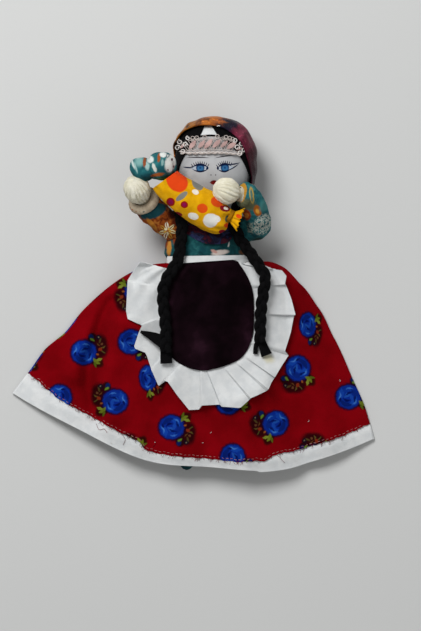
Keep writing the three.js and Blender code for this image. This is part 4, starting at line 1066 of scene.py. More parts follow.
def skirt_y(u, v):
    """The skirt's place along the view, with the step at the waist and the hem's waves."""
    under_band = smoothstep(v, 0, 0.02) * (1 - smoothstep(v, 0.05, 0.12))
    step = WAIST_STEP * smoothstep(u, 0.3, 0.8) * under_band
    wave = along_curve(HEM_WAVE, u) * smoothstep(v, 0.6, 1)
    return WAIST[1] - skirt_reach(u) * v + step + wave


def edge_level(v):
    """The height of the skirt's sides."""
    return SURFACE + EDGE_HEIGHT + (TRUNK_LEVEL - SURFACE - EDGE_HEIGHT) * (1 - v) ** EDGE_POWER


def distance_to(line, x, y):
    """The distance of places from a line of points."""
    best = np.full(np.shape(x), np.inf)
    for (ax, ay), (bx, by) in zip(line, line[1:]):
        dx, dy = bx - ax, by - ay
        share = np.clip(((x - ax) * dx + (y - ay) * dy) / (dx * dx + dy * dy), 0, 1)
        best = np.minimum(best, np.hypot(x - ax - share * dx, y - ay - share * dy))
    return best


def laid_folds(x, y):
    """The height that the listed folds add at places in view."""
    height = np.zeros(np.shape(x))
    for line, half, rise in FOLDS:
        across, along = np.array(line).T
        places = np.stack([skirt_x(across, along), skirt_y(across, along)], 1)
        height += rise * np.exp(-((distance_to(places, x, y) / half) ** 2))
    return height


def fold_height(u, v):
    """The height of the listed folds over the skirt's round form."""
    near_waist = smoothstep(v, 0.0, 0.05) * (1 - smoothstep(v, 0.1, 0.4))
    gathers = GATHER_HEIGHT * np.sin(GATHERS * u + GATHER_SLANT * v) * near_waist
    return gathers + laid_folds(skirt_x(u, v), skirt_y(u, v))


def front_level(u, v):
    """The height of the skirt's front, with its folds and its gathers at the waist."""
    open_share = np.maximum(1 - u * u, 0)
    crown = HEM_CROWN + WAIST_CROWN * (1 - v) ** CROWN_POWER
    edge = edge_level(v) + EDGE_GAP
    roundness = lerp(*ROUNDNESS, np.minimum(ROUND_RATE * v, 1))
    drop = HEM_DROP * smoothstep(v, DROP_FROM, 1) * open_share
    folds = fold_height(u, v) * smoothstep(open_share, 0, 0.3)
    return edge + (crown - edge) * open_share**roundness - drop + folds


def back_level(u, v):
    """The height of the skirt's back, which lies nearly flat."""
    edge = edge_level(v) - EDGE_GAP
    middle = BACK_HEIGHT + BACK_RISE * (1 - v) ** BACK_POWER
    return edge - (edge - middle) * np.sqrt(np.maximum(1 - u * u, 0))


def skirt_height(x, y):
    """The height of the skirt's front over places in view, found by halving v."""
    low, high = np.zeros_like(x), np.ones_like(x)
    for _ in range(HALVINGS):
        v = (low + high) / 2
        u = np.clip((x - skirt_x(0, v)) / (skirt_x(1, v) - skirt_x(0, v)), -NEAR_SIDE, NEAR_SIDE)
        above = skirt_y(u, v) > y
        low, high = np.where(above, v, low), np.where(above, high, v)
    return front_level(u, low)


def raw_end(u):
    """Where the red cloth ends over the hem band, wandering by a thread or two."""
    end = 1 - through(HEM_WIDTHS, u) / skirt_reach(u)
    for height, turns, start in RAW_WANDER:
        end = end + height * np.sin(turns * u + start)
    return end


def skirt_ring(start, end, rows):
    """A ring of cloth between two heights of the skirt: the front, then the back."""
    across = -np.cos(np.linspace(0, math.pi, SKIRT_COLUMNS))
    rise = np.linspace(0, 1, rows)[:, None]
    u = np.broadcast_to(across[None], (rows, SKIRT_COLUMNS))
    v = lerp(start(across)[None], end(across)[None], rise)
    x, y = skirt_x(u, v), skirt_y(u, v)
    front = np.stack([x, y, front_level(u, v)], 2)
    back = np.stack([x, y, back_level(u, v)], 2)[:, ::-1]
    turn = np.array([SIDE_TURN, 0, 0])
    turn_right = (front[:, -1:] + back[:, :1]) / 2 + turn
    turn_left = (front[:, :1] + back[:, -1:]) / 2 - turn
    return np.concatenate([front, turn_right, back, turn_left], 1)


# Roses on the skirt's front: pixel of the heart, turn in degrees, -1 where the spray is mirrored, and the
# share of its width that is left
ROSES = [
    ((83.5, 352.5), 0, 1, 1), ((131, 342), 0, -1, 1), ((148, 378), -44, 1, 0.7),
    ((59, 397.6), -105, -1, 1), ((115, 401.5), 180, -1, 1), ((171.5, 427.5), 0, -1, 1),
    ((275.7, 423.6), -150, -1, 1), ((298, 368.5), -80, -1, 1), ((308, 325), -15, -1, 0.65),
    ((349, 397), 10, 1, 1), ((317, 458), 80, 1, 1), ((232.8, 457), -80, 1, 1),
    ((228.5, 402), 20, 1, 1), ((133, 457), 95, 1, 1), ((137, 291), 190, 1, 1), ((18, 356), 0, 1, 1),
    ((205, 370), 40, 1, 1), ((250, 350), 100, 1, 1), ((180, 330), 10, -1, 1),
]
# How far a spray's middle is from its rose's heart
SPRAY_MIDDLE = 4
# Roses on the back: spacing across and along, the first row's height, and how they turn from one to the next
BACK_ROSE_SPACING = (36, 31)
BACK_ROSE_TOP = 12
BACK_ROSE_TURNS = (67, 140)
BACK_ROSE_COLUMNS = range(-4, 5)
BACK_ROSE_ROWS = range(5)


def lay_roses(piece, columns):
    """Gives each face of the skirt its coordinates about the nearest rose, in the motif map."""
    mesh = piece.data
    corners = np.zeros(len(mesh.loops), np.int32)
    mesh.loops.foreach_get("vertex_index", corners)
    places = np.zeros(len(mesh.vertices) * 3, np.float32)
    mesh.vertices.foreach_get("co", places)
    spots = places.reshape(-1, 3)[corners].reshape(-1, 4, 3)[..., :2] / MM - OFFSET[:2]
    front = np.arange(len(spots)) % columns <= SKIRT_COLUMNS
    wide, tall = BACK_ROSE_SPACING
    turn_across, turn_along = BACK_ROSE_TURNS
    back_roses = [
        ((i + 0.5 * (j % 2)) * wide, BACK_ROSE_TOP - j * tall, turn_across * i + turn_along * j, 1, 1)
        for i in BACK_ROSE_COLUMNS for j in BACK_ROSE_ROWS
    ]
    front_roses = [(*pixels([at])[0], *rest) for at, *rest in ROSES]
    motif = np.zeros((len(spots), 4, 2))
    for chosen, roses in ((front, front_roses), (~front, back_roses)):
        x, y, turn, side, width = np.array(roses, float).T
        turn = np.radians(turn)
        hearts = np.stack([x, y], 1)
        middles = hearts + SPRAY_MIDDLE * np.stack([np.cos(turn), np.sin(turn)], 1)
        faces = spots[chosen]
        nearest = np.linalg.norm(faces.mean(1)[:, None] - middles[None], axis=2).argmin(1)
        about = faces - hearts[nearest][:, None]
        about[..., 0] /= width[nearest][:, None]
        c, s = np.cos(turn[nearest])[:, None], np.sin(turn[nearest])[:, None]
        along = about[..., 0] * c + about[..., 1] * s
        aside = (about[..., 1] * c - about[..., 0] * s) * side[nearest][:, None]
        motif[chosen] = np.stack([along, aside], 2)
    layer = mesh.uv_layers.new(name="motif")
    layer.uv.foreach_set("vector", motif.astype(np.float32).ravel())


SKIRT_WRINKLE = (14, 0.5, 1)
skirt_middle = skirt_ring(lambda u: 0 * u, raw_end, SKIRT_ROWS)
skirt_front = np.arange(skirt_middle.shape[1]) < SKIRT_COLUMNS
skirt_middle[..., 2] += wrinkle(skirt_middle, *SKIRT_WRINKLE) * skirt_front
skirt_form = Form().shell(skirt_middle, SKIRT_CLOTH, True)
skirt = dress(skirt_form, "skirt_cloth", "red", "torso", "red_print", "skirt_front", "skirt_back")
lay_roses(skirt, skirt_middle.shape[1])

# How far the band reaches up under the red cloth, and how far it lies under it on the front and on the back
HEM_ROWS = 12
HEM_OVERLAP = 0.03
HEM_UNDER = 0.9
HEM_UNDER_BACK = 0.6
hem_middle = skirt_ring(lambda u: raw_end(u) - HEM_OVERLAP, lambda u: 1 + 0 * u, HEM_ROWS)
under_red = HEM_UNDER * (1 - smoothstep(np.linspace(0, 1, HEM_ROWS), 0.25, 0.55))[:, None]
hem_middle[:, :SKIRT_COLUMNS, 2] -= under_red
hem_middle[:, SKIRT_COLUMNS + 1 : -1, 2] += HEM_UNDER_BACK * under_red
hem_form = Form().shell(hem_middle, HEM_CLOTH, True)
hem = dress(hem_form, "hem_band_cloth", "white", "torso", "white_cotton", "hem_band_front", "hem_band_back")

# Loose threads of the raw end: number, seed, where they start, reach, drift, arch, lift and radius
FRAY_COUNT = 140
FRAY_SEED = 7
FRAY_SPAN = 0.97
FRAY_START = 0.005
FRAY_REACH = (0.003, 0.018)
FRAY_DRIFT = 0.008
FRAY_ARCH = (0.1, 0.7)
FRAY_LIFT = 0.7
FRAY_RADIUS = 0.11
FRAY_LIMIT = 0.997
# Longer threads over the hem band, by their pixels
LONG_THREADS = [
    [(96, 424), (99, 430), (104, 429), (107, 433)], [(122, 434), (125, 440), (123, 445)],
    [(279, 452), (281, 459), (285, 463)], [(152, 438), (156, 443), (153, 447)],
    [(340, 432), (343, 437), (342, 441)],
]
LONG_THREAD_STEPS = 14
LONG_THREAD_LIFT = 0.95
LONG_THREAD_RADIUS = 0.13
# Stitches above the raw end: span, spacing and length across, distance up, lift, arch and radius
STITCH_SPAN = 0.95
STITCH_SPACING = 0.024
STITCH_LENGTH = 0.013
STITCH_ABOVE = 0.011
STITCH_LIFT = 0.62
STITCH_ARCH = 0.15
STITCH_RADIUS = 0.16
STITCH_STEPS = 4
# Specks of lint, by their pixels: a curl of thread each
LINT = [(71, 366), (155, 443.5), (203, 444), (210.7, 434), (308.6, 423), (340, 383), (111, 446)]
LINT_TURN = 3.4
LINT_STEPS = 8
LINT_LIFT = 0.9
LINT_RADIUS = 0.13


def on_front(u, v, lift):
    """Places over the skirt's front."""
    return np.stack([skirt_x(u, v), skirt_y(u, v), front_level(u, v) + lift], -1)


def over_skirt(path, lift):
    """A path in view, lifted over the skirt's front."""
    return np.column_stack([path, skirt_height(path[:, 0], path[:, 1]) + lift])


def fray():
    """Short threads all along the raw end, and a few long ones."""
    random = np.random.default_rng(FRAY_SEED)
    form = Form()
    share = np.linspace(0, 1, 5)
    for u in random.uniform(-FRAY_SPAN, FRAY_SPAN, FRAY_COUNT):
        reach = random.uniform(*FRAY_REACH)
        aside = random.normal(0, FRAY_DRIFT)
        arch = random.uniform(*FRAY_ARCH)
        v = np.minimum(raw_end(u) - FRAY_START + (reach + FRAY_START) * share, FRAY_LIMIT)
        lift = FRAY_LIFT + arch * np.sin(math.pi * share)
        form.tube(on_front(u + aside * share**2, v, lift), FRAY_RADIUS, 4)
    for line in LONG_THREADS:
        path = curve_through(pixels(line), LONG_THREAD_STEPS)
        form.tube(over_skirt(path, LONG_THREAD_LIFT), LONG_THREAD_RADIUS, 5)
    return form


def stitches():
    """A row of running stitches above the raw end."""
    form = Form()
    lift = STITCH_LIFT + STITCH_ARCH * np.sin(np.linspace(0, math.pi, STITCH_STEPS))
    for start in np.arange(-STITCH_SPAN, STITCH_SPAN, STITCH_SPACING):
        u = np.linspace(start, start + STITCH_LENGTH, STITCH_STEPS)
        form.tube(on_front(u, raw_end(u) - STITCH_ABOVE, lift), STITCH_RADIUS, 4)
    return form


def lint():
    """Small curls of white thread on the skirt."""
    form = Form()
    for number, place in enumerate(LINT):
        turn = np.linspace(0, LINT_TURN, LINT_STEPS) + number
        path = pixels([place]) + np.stack([0.5 * np.cos(turn), 0.22 * turn + 0.3 * np.sin(turn)], 1)
        form.tube(over_skirt(path, LINT_LIFT), LINT_RADIUS, 4)
    return form


fray_piece = dress(fray(), "hem_loose_threads", "fray", "torso", "thread")
stitch_piece = dress(stitches(), "hem_stitches", "stitch", "torso", "thread")
lint_piece = dress(lint(), "skirt_lint", "lint", "torso", "thread")

# Apron: velvet panel under the waistband, with a knife-pleated frill round it
VELVET_CLOTH = 1.0
# The velvet bulges under the plait that lies along its left side, the frill under the other
VELVET_CROWN = 1.2
FRILL_PUFF = 1.3
# The velvet over the skirt, how far it dips under the waistband, and its wrinkles
VELVET_LIFT = 1.95
VELVET_DIP = 1.7
VELVET_WRINKLE = (17, 0.5, 3)
VELVET_ROWS, VELVET_COLUMNS = 80, 70
VELVET_EDGE_STEPS = 90
VELVET_RIGHT = [
    (234, 256.5), (236, 259.7), (245.5, 273.5), (252, 289), (253.7, 310), (251.6, 339), (242, 357),
    (226, 365.5), (207, 370.5),
]
VELVET_LEFT = [
    (179, 261), (178.5, 264), (168.5, 277), (162.5, 292), (160.3, 312), (162.5, 338), (172, 357),
    (188, 367), (204, 370.5),
]
# Pleats of the frill, clockwise from the top right: turn about the apron's centre and the outer edge's pixel
PLEATS = [
    [(70, 252, 257.5), (64, 264, 265.5), (57, 272, 268.8)],
    [(56, 273, 269), (48, 282, 270.5), (40, 286.5, 276), (28, 285, 284)],
    [(27, 286, 285), (12, 291.5, 299), (0, 295.5, 314.5)],
    [(-1, 294, 316), (-14, 291, 332), (-30, 285, 351)],
    [(-31, 288.5, 355.5), (-38, 281, 367), (-44, 275, 377)],
    [(-46, 274.5, 377.5), (-51, 271, 383), (-56, 268.5, 389)],
    [(-57, 266, 391), (-65, 258, 395), (-72, 251, 398)],
    [(-74, 249.5, 399.5), (-81, 240, 408), (-93, 222, 406.5)],
    [(-94, 220, 404.5), (-97, 211, 405), (-101, 202, 405.5)],
    [(-102, 199, 409.5), (-109, 189, 410), (-116, 177, 395), (-124, 168, 382)],
    [(-125, 165, 381), (-131, 158.5, 386), (-143, 151.5, 370)],
    [(-145, 151, 368), (-155, 146, 353), (-158, 133.5, 348), (-169, 138.5, 333), (-176, 142, 325.5)],
    [(-178, 140, 324.5), (-183, 127.7, 319), (-190, 126, 311), (-204, 127.5, 282)],
    [(-206, 127.7, 280), (-216, 134, 270), (-226, 140.5, 261.5)],
]
# Each pleat rises to its height at its end by this power
PLEAT_HEIGHT = 3.0
PLEAT_POWER = 1.4
PLEAT_POINTS = 16
FRILL_ROWS = 26
FRILL_CLOTH = 0.6
# The frill starts under the velvet's edge, falls no further than this below it, and lies over the skirt by a
# base, a lift all round and a lift for its lower part
FRILL_INSET = 2.0
FRILL_DROP = 9
FRILL_BASE = 0.9
FRILL_LIFT = 0.7
FRILL_LOW_LIFT = 0.8
FRILL_WRINKLE = (9, 0.6, 5)


def velvet_middle():
    """The velvet panel, laid on the skirt between its two outlines."""
    left, right = (curve_through(pixels(line), VELVET_ROWS - 1) for line in (VELVET_LEFT, VELVET_RIGHT))
    share = np.linspace(0, 1, VELVET_COLUMNS)[None]
    down = np.linspace(0, 1, VELVET_ROWS)[:, None]
    x, y = (lerp(left[:, k : k + 1], right[:, k : k + 1], share) for k in range(2))
    under_band = VELVET_DIP * (1 - smoothstep(down, 0.02, 0.07))
    under_braid = smoothstep(share, 0, 0.06) * (1 - smoothstep(share, 0.14, 0.3))
    crown = VELVET_CROWN * under_braid * smoothstep(down, 0.02, 0.12) * (1 - smoothstep(down, 0.88, 1))
    middle = np.stack([x, y, skirt_height(x, y) + VELVET_LIFT - under_band + crown], 2)
    middle[..., 2] += wrinkle(middle, *VELVET_WRINKLE)
    return middle


def velvet_edge(turns, inset):
    """Places on the velvet's edge at turns about the apron's oval, in degrees, moved inwards."""
    edge = np.vstack([
        curve_through(pixels(line), VELVET_EDGE_STEPS) for line in (VELVET_RIGHT, VELVET_LEFT[::-1])
    ])
    about = edge - np.array(APRON_CENTRE)
    angle = np.unwrap(np.arctan2(about[:, 1], about[:, 0]))
    order = np.argsort(angle)
    ways = np.radians(turns)
    wanted = np.arctan2(APRON_HALF[1] * np.sin(ways), APRON_HALF[0] * np.cos(ways))
    wanted = np.where(turns < -180, wanted - 2 * math.pi, wanted)
    reach = np.interp(wanted, angle[order], np.linalg.norm(about, axis=1)[order]) - inset
    return np.array(APRON_CENTRE) + reach[:, None] * np.stack([np.cos(wanted), np.sin(wanted)], 1)


def frill_middle():
    """The frill from under the velvet's edge to its outer edge, pleat after pleat."""
    turns, outer, height = [], [], []
    for pleat in PLEATS:
        marks = np.array(pleat, float)
        fine = np.linspace(0, len(marks) - 1, PLEAT_POINTS)
        at = np.stack([np.interp(fine, np.arange(len(marks)), marks[:, k]) for k in range(3)], 1)
        turns.append(at[:, 0])
        outer.append(pixels(at[:, 1:]))
        height.append(PLEAT_HEIGHT * (fine / fine[-1]) ** PLEAT_POWER)
    turns, outer, height = np.concatenate(turns), np.concatenate(outer), np.concatenate(height)
    inner = velvet_edge(turns, FRILL_INSET)
    rise = np.linspace(0, 1, FRILL_ROWS)[:, None]
    x, y = (lerp(inner[None, :, k], outer[None, :, k], rise) for k in range(2))
    pleated = height[None] * (0.3 + 0.7 * rise) * smoothstep(rise, 0.03, 0.2)
    level = skirt_height(x, y)
    level = np.maximum(level, level[:1] - FRILL_DROP)
    lift = FRILL_LIFT + FRILL_LOW_LIFT * (1 - smoothstep(y, 0, 12))
    under_braid = smoothstep(x, 30, 40) * (1 - smoothstep(y, -2, 10)) * smoothstep(y, -54, -42)
    puff = FRILL_PUFF * under_braid * smoothstep(rise, 0.05, 0.3) * (1 - smoothstep(rise, 0.5, 1))
    height = level + FRILL_BASE + lift * smoothstep(rise, 0.05, 0.9) + puff + pleated
    middle = np.stack([x, y, height], 2)
    middle[..., 2] += wrinkle(middle, *FRILL_WRINKLE) * rise
    return middle


panel_middle = velvet_middle()
panel_form = Form().shell(panel_middle, VELVET_CLOTH)
panel = dress(panel_form, "apron_velvet", "velvet", "torso", "plum_velvet", "apron_panel")
frill_cloth = frill_middle()
frill_form = Form().shell(frill_cloth, FRILL_CLOTH)
frill = dress(frill_form, "apron_frill", "white", "torso", "white_cotton", "apron_ruffle")

# Trunk, bodice and waistband
BODICE_LOW, BODICE_HIGH = 25.1, 52.9
BODICE_CLOTH = 0.7
BODICE_ROWS = 44
BODICE_LIFT = 0.75
BODICE_WRINKLE = (8, 0.5, 2)
# Gathers at its lower edge: height and how far up they fade; and how full its left side is
BODICE_GATHER = 0.45
BODICE_FADE = 5
BODICE_FULLNESS = 3.0
# Edges of the waistband, each a height and a tilt; and how far it stands off, all round and in front
BAND_LOW, BAND_HIGH = (22.8, 2.1), (26.8, 0.5)
BAND_ROWS = 14
BAND_CLOTH = 1.0
BAND_LIFT = 1.5
BAND_FRONT_LIFT = 1.1
BAND_WRINKLE = (7, 0.35, 4)
# The stuffing: how far inside the trunk's outline it lies, and its rows, closer at the lower end
STUFFING_INSET = 0.2
STUFFING_ROWS = [(9.4, 12, 8), (13, 57.4, 36)]
# The neck: its ends, its radius below and at the joint, and the squared radius and least size of its ball
NECK_ENDS = (51.4, 66.5)
NECK_STEPS = 30
NECK_SIDES = 40
NECK_RADII = (6.4, 7.6)
NECK_WIDENS = 52
NECK_BALL = 58
NECK_LEAST = 0.5
TRUNK_COLUMNS = 160
around = np.linspace(0, 2 * math.pi, TRUNK_COLUMNS, endpoint=False)[None]


def trunk_ring(y, grow):
    """Rings round the trunk at heights, grown by a lift."""
    rise = np.clip((y - WAIST[1]) / (NECK[1] - WAIST[1]), -1, 1)
    x = lerp(WAIST[0], NECK[0], rise) + (through(TRUNK_WIDTHS, y) + grow) * np.cos(around)
    z = TRUNK_LEVEL + (through(TRUNK_DEPTHS, y) + grow) * np.sin(around)
    return np.stack(np.broadcast_arrays(x, y, z), -1)


def wrinkled(ring, *shape):
    """A closed ring of cloth, wrinkled in and out."""
    return ring + normals_of(ring, True) * wrinkle(ring, *shape)[..., None]


def bodice_middle():
    """The bodice, gathered into the waistband and fuller on the left."""
    y = np.linspace(BODICE_LOW, BODICE_HIGH, BODICE_ROWS)[:, None]
    pleats = np.sin(46 * around + 3 * np.sin(5 * around))
    gathers = BODICE_GATHER * pleats * np.exp(-(y - BODICE_LOW) / BODICE_FADE)
    left = np.maximum(-np.cos(around), 0) ** 2
    fullness = BODICE_FULLNESS * left * smoothstep(y, 24, 29) * (1 - smoothstep(y, 34, 46))
    return wrinkled(trunk_ring(y, BODICE_LIFT + gathers + fullness), *BODICE_WRINKLE)


def band_middle():
    """The waistband between its two slanting edges."""
    low, high = (base + tilt * np.cos(around) for base, tilt in (BAND_LOW, BAND_HIGH))
    y = lerp(low, high, np.linspace(0, 1, BAND_ROWS)[:, None])
    lift = BAND_LIFT + BAND_FRONT_LIFT * smoothstep(np.sin(around), 0, 0.4)
    return wrinkled(trunk_ring(y, lift), *BAND_WRINKLE)


bodice_cloth = bodice_middle()
bodice_form = Form().shell(bodice_cloth, BODICE_CLOTH, True)
bodice = dress(bodice_form, "bodice_cloth", "bodice", "torso", "teal_print", "bodice")
band_form = Form().shell(band_middle(), BAND_CLOTH, True)
dress(band_form, "apron_waistband_cloth", "white", "torso", "white_cotton", "apron_waistband")
trunk_rows = np.concatenate([np.linspace(*rows) for rows in STUFFING_ROWS])[:, None]
trunk_form = Form().rings(trunk_ring(trunk_rows, -STUFFING_INSET))
trunk = dress(trunk_form, "torso_stuffing", "skin", "torso", "face_cloth", "torso")
neck_rows = np.linspace(*NECK_ENDS, NECK_STEPS)
neck_ball = np.sqrt(np.maximum(NECK_BALL - (neck_rows - NECK[1]) ** 2, NECK_LEAST))
neck_stem = lerp(*NECK_RADII, smoothstep(neck_rows, NECK_WIDENS, NECK[1]))
neck_radius = np.where(neck_rows < NECK[1], neck_stem, neck_ball)
neck_path = np.stack(np.broadcast_arrays(NECK[0], neck_rows, HEAD_CENTRE[2]), 1)
neck_form = Form().tube(neck_path, neck_radius, NECK_SIDES)
neck = dress(neck_form, "neck_stuffing", "skin", "torso", "face_cloth", "neck")

# Scarf ends, crossed flat under the chin: upper edge, lower edge and lift over the trunk
SCARF_END_SHAPES = [
    ([(-9, 51), (4, 51), (19, 51), (30, 51)], [(-9.8, 46.2), (-3, 41.2), (2.8, 37.5), (8, 36)], 2.1),
    (
        [(33, 51), (24, 51), (10, 51), (0, 51)],
        [(30, 45), (28, 41), (24.5, 36.4), (14, 34.7), (6.3, 35.8)], 3.2,
    ),
]
SCARF_CLOTH = 0.6
SCARF_END_ROWS, SCARF_END_COLUMNS = 26, 40
SCARF_END_FOLD = 0.6
# How near to the trunk's sides an end is laid
SCARF_END_SIDE = 0.98


def scarf_end(top, bottom, lift):
    """One scarf end, laid over the trunk between its edges, with soft folds."""
    upper, lower = curve_through(top, SCARF_END_COLUMNS), curve_through(bottom, SCARF_END_COLUMNS)
    rise = np.linspace(0, 1, SCARF_END_ROWS)[:, None]
    x, y = (lerp(upper[None, :, k], lower[None, :, k], rise) for k in range(2))
    middle_x = lerp(WAIST[0], NECK[0], (y - WAIST[1]) / (NECK[1] - WAIST[1]))
    share = (x - middle_x) / (through(TRUNK_WIDTHS, y) + lift)
    share = np.clip(share, -SCARF_END_SIDE, SCARF_END_SIDE)
    z = TRUNK_LEVEL + (through(TRUNK_DEPTHS, y) + lift) * np.sqrt(1 - share**2)
    folds = SCARF_END_FOLD * np.sin(2.1 * (rise * 6 + np.linspace(0, 4, SCARF_END_COLUMNS + 1)[None]))
    return np.stack([x, y, z + folds * smoothstep(rise, 0, 0.2)], 2)


scarf_end_cloths = [scarf_end(*shape) for shape in SCARF_END_SHAPES]
ends_form = Form()
for cloth in scarf_end_cloths:
    ends_form.shell(cloth, SCARF_CLOTH)
scarf_ends = dress(ends_form, "scarf_end_cloth", "satin_end", "torso", "satin", "scarf_ends")

# Head, hair, lace and scarf; the head lies just inside its outline, with a small cap at its crown and chin
HEAD_ROWS, HEAD_COLUMNS = 70, 110
HEAD_INSET = 0.05
HEAD_POLE = 0.02
HAIR_LIFT = 0.9
HAIR_CLOTH = 1.0
HAIR_STEPS, HAIR_COLUMNS = 60, 36
# Fine ribs across the hair: their height and number
HAIR_RIB = 0.12
HAIR_RIBS = 26
LACE_LIFT = 2.05
SCARF_LIFT = 3.0
HEADSCARF_CLOTH = 0.7


def on_head(directions, lift):
    """Points at a lift over the head's stuffed form, towards directions from its centre."""
    ways = unit(np.asarray(directions, float) / HEAD_HALF)
    size = (np.abs(ways) ** HEAD_SQUARENESS).sum(-1, keepdims=True) ** (-1 / HEAD_SQUARENESS)
    return HEAD_CENTRE + ways * size * (HEAD_HALF + np.asarray(lift, float)[..., None])


def front_of_head(places, lift):
    """Points over places in view, about the head's centre, on the front of its stuffed form."""
    half = HEAD_HALF + lift
    x, y = places[..., 0], places[..., 1]
    rest = 1 - np.abs(x / half[0]) ** HEAD_SQUARENESS - np.abs(y / half[1]) ** HEAD_SQUARENESS
    z = half[2] * np.maximum(rest, 1e-4) ** (1 / HEAD_SQUARENESS)
    return np.stack([x, y, z], -1) + HEAD_CENTRE


def between(a, b, share):
    """Directions on the great circle from a to b."""
    a, b = unit(a / HEAD_HALF), unit(b / HEAD_HALF)
    angle = np.arccos(np.clip((a * b).sum(-1, keepdims=True), -1, 1))
    ways = a * np.sin((1 - share) * angle) + b * np.sin(share * angle)
    return ways / np.maximum(np.sin(angle), 1e-6) * HEAD_HALF


def round_turns(count):
    """Turns all round, in a row."""
    return np.linspace(0, 2 * math.pi, count, endpoint=False)[None]


def head_ball():
    """The stuffed head, from its crown to its chin."""
    tilt = np.linspace(HEAD_POLE, math.pi - HEAD_POLE, HEAD_ROWS)[:, None]
    turn = round_turns(HEAD_COLUMNS)
    ways = np.stack([np.sin(tilt) * np.sin(turn), np.cos(tilt) + 0 * turn, np.sin(tilt) * np.cos(turn)], 2)
    return Form().rings(on_head(ways * HEAD_HALF, np.full(ways.shape[:2], -HEAD_INSET)))


head = dress(head_ball(), "head_cloth", "face", "head", "face_cloth", "head")

# Each side's hairline round the face, and its far edge under the scarf
HAIR = {
    "hair_left": (
        [(-7.4, 25.4), (-11.0, 18.2), (-17.3, 10.9), (-20.1, 6.7), (-24.0, -0.3), (-26.0, -6.6)],
        [(-3.9, 28.8, 2), (-15, 26, -3), (-22, 19, -7), (-25, 10, -12), (-25.5, 2, -13), (-25, -8, -12)],
    ),
    "hair_right": (
        [(-1.8, 25.4), (2.7, 18.5), (10.7, 11.6), (15.6, 7.4), (20.5, -0.3), (24.8, -9.8)],
        [(-3.4, 28.8, 2), (9, 27.5, -3), (19, 22, -5), (25, 13, -6), (27, 3, -6), (26, -9, -6)],
    ),
}
# A thin roll of black cloth across the parting: its line, lift and radius
HAIR_TIE = [(-12, 17.9), (-7, 18.6), (-2, 18.8), (3.4, 18.2)]
HAIR_TIE_LIFT = 0.7
HAIR_TIE_RADIUS = 0.6
for node, (inner, outer) in HAIR.items():
    line = front_of_head(curve_through(inner, HAIR_STEPS), HAIR_LIFT) - HEAD_CENTRE
    back = curve_through(outer, HAIR_STEPS)
    ways = between(line[:, None], back[:, None], np.linspace(0, 1, HAIR_COLUMNS)[None, :, None])
    ribs = HAIR_RIB * np.sin(np.linspace(0, 2 * math.pi * HAIR_RIBS, HAIR_STEPS + 1))[:, None]
    hair_cloth = on_head(ways, HAIR_LIFT + ribs * np.ones((1, HAIR_COLUMNS)))
    form = Form().shell(hair_cloth, HAIR_CLOTH)
    if node == "hair_left":
        form.tube(front_of_head(curve_through(HAIR_TIE, 30), HAIR_TIE_LIFT), HAIR_TIE_RADIUS, 8)
    piece = dress(form, node + "_cloth", "black", "head", "black_cloth", node)

# The lace band's edges in the photo
LACE_TOP = [
    (174, 146), (185, 139.5), (204, 137.3), (218, 136.5), (231, 138.5), (240, 143.5), (246.5, 151),
]
LACE_LOW = [
    (176, 151), (187, 153.5), (203, 153.6), (214, 153.4), (224, 153.6), (236, 154.4), (245.5, 153),
]
LACE_STEPS = 220
lace_top, lace_low = (
    curve_through(pixels(line) - HEAD_CENTRE[:2], LACE_STEPS) for line in (LACE_TOP, LACE_LOW)
)
LACE_LENGTH = np.linalg.norm(np.diff(lace_low, axis=0), axis=1).sum()
# Scrolls at the two ends: place along and across the band, and radius in millimetres; their lift and thread
LACE_SCROLLS = [
    (0.04, 0.5, 2.0), (0.09, 1.0, 1.8), (0.10, 0.1, 1.9), (0.15, 0.62, 1.8), (0.20, 1.02, 1.5),
    (0.80, 0.98, 1.6), (0.85, 0.55, 1.9), (0.90, 1.05, 1.7), (0.91, 0.1, 2.0), (0.96, 0.55, 1.8),
]
SCROLL_TURN = 2.2 * math.pi
SCROLL_LIFT = 0.25
SCROLL_THREAD = 0.42
# The row of points along the lower edge: lift and thread
POINTS_LIFT = 0.2
POINTS_THREAD = 0.36
# Borders: start, end, place across and radius; and how they waver
LACE_BORDERS = [
    (0.05, 0.95, 0.06, 0.34), (0.12, 0.88, 0.2, 0.24), (0.2, 0.8, 0.84, 0.26), (0.22, 0.78, 0.94, 0.2),
]
BORDER_WAVER = 0.025
# The net: its span, spacing in millimetres, lean and thread
NET_SPAN = (0.18, 0.78)
NET_SPACING = 1.7
NET_LEAN = 0.09
NET_THREAD = 0.15
# Loops along the upper edge: places, half width in millimetres, half height, lift and thread
LACE_LOOPS = [0.26, 0.31, 0.41, 0.57, 0.68, 0.73, 0.77]
LOOP_HALF = 1.15
LOOP_HEIGHT = 0.11
LOOP_LIFT = 0.1
LOOP_THREAD = 0.26
# Scallops along the lower edge: span, width in millimetres, and the depth and thread of each row
SCALLOP_SPAN = (0.06, 0.90)
SCALLOP_WIDTH = 4.4
SCALLOP_ROWS = [(0.12, 0.34), (0.06, 0.3), (0.0, 0.26)]
# Leaves of the lace: place along the band, and size; their lift and cloth
LACE_LEAVES = [
    (0.11, 0.7), (0.25, 1), (0.37, 0.9), (0.46, 1.1), (0.57, 1), (0.67, 0.85), (0.77, 1.1), (0.89, 0.8),
]
LEAF_LIFT = 0.12
LEAF_CLOTH = 0.3


def lace_place(along, across):
    """Places in view on the lace band, from its lower edge to its upper."""
    at = np.clip(along, 0, 1) * LACE_STEPS
    marks = np.arange(LACE_STEPS + 1)
    low, top = (
        np.stack([np.interp(at, marks, line[:, k]) for k in range(2)], -1) for line in (lace_low, lace_top)
    )
    return lerp(low, top, np.asarray(across)[..., None])


def on_lace(along, across, lift=0.0):
    """Places over the head on the lace band."""
    return front_of_head(lace_place(along, across), LACE_LIFT + lift)


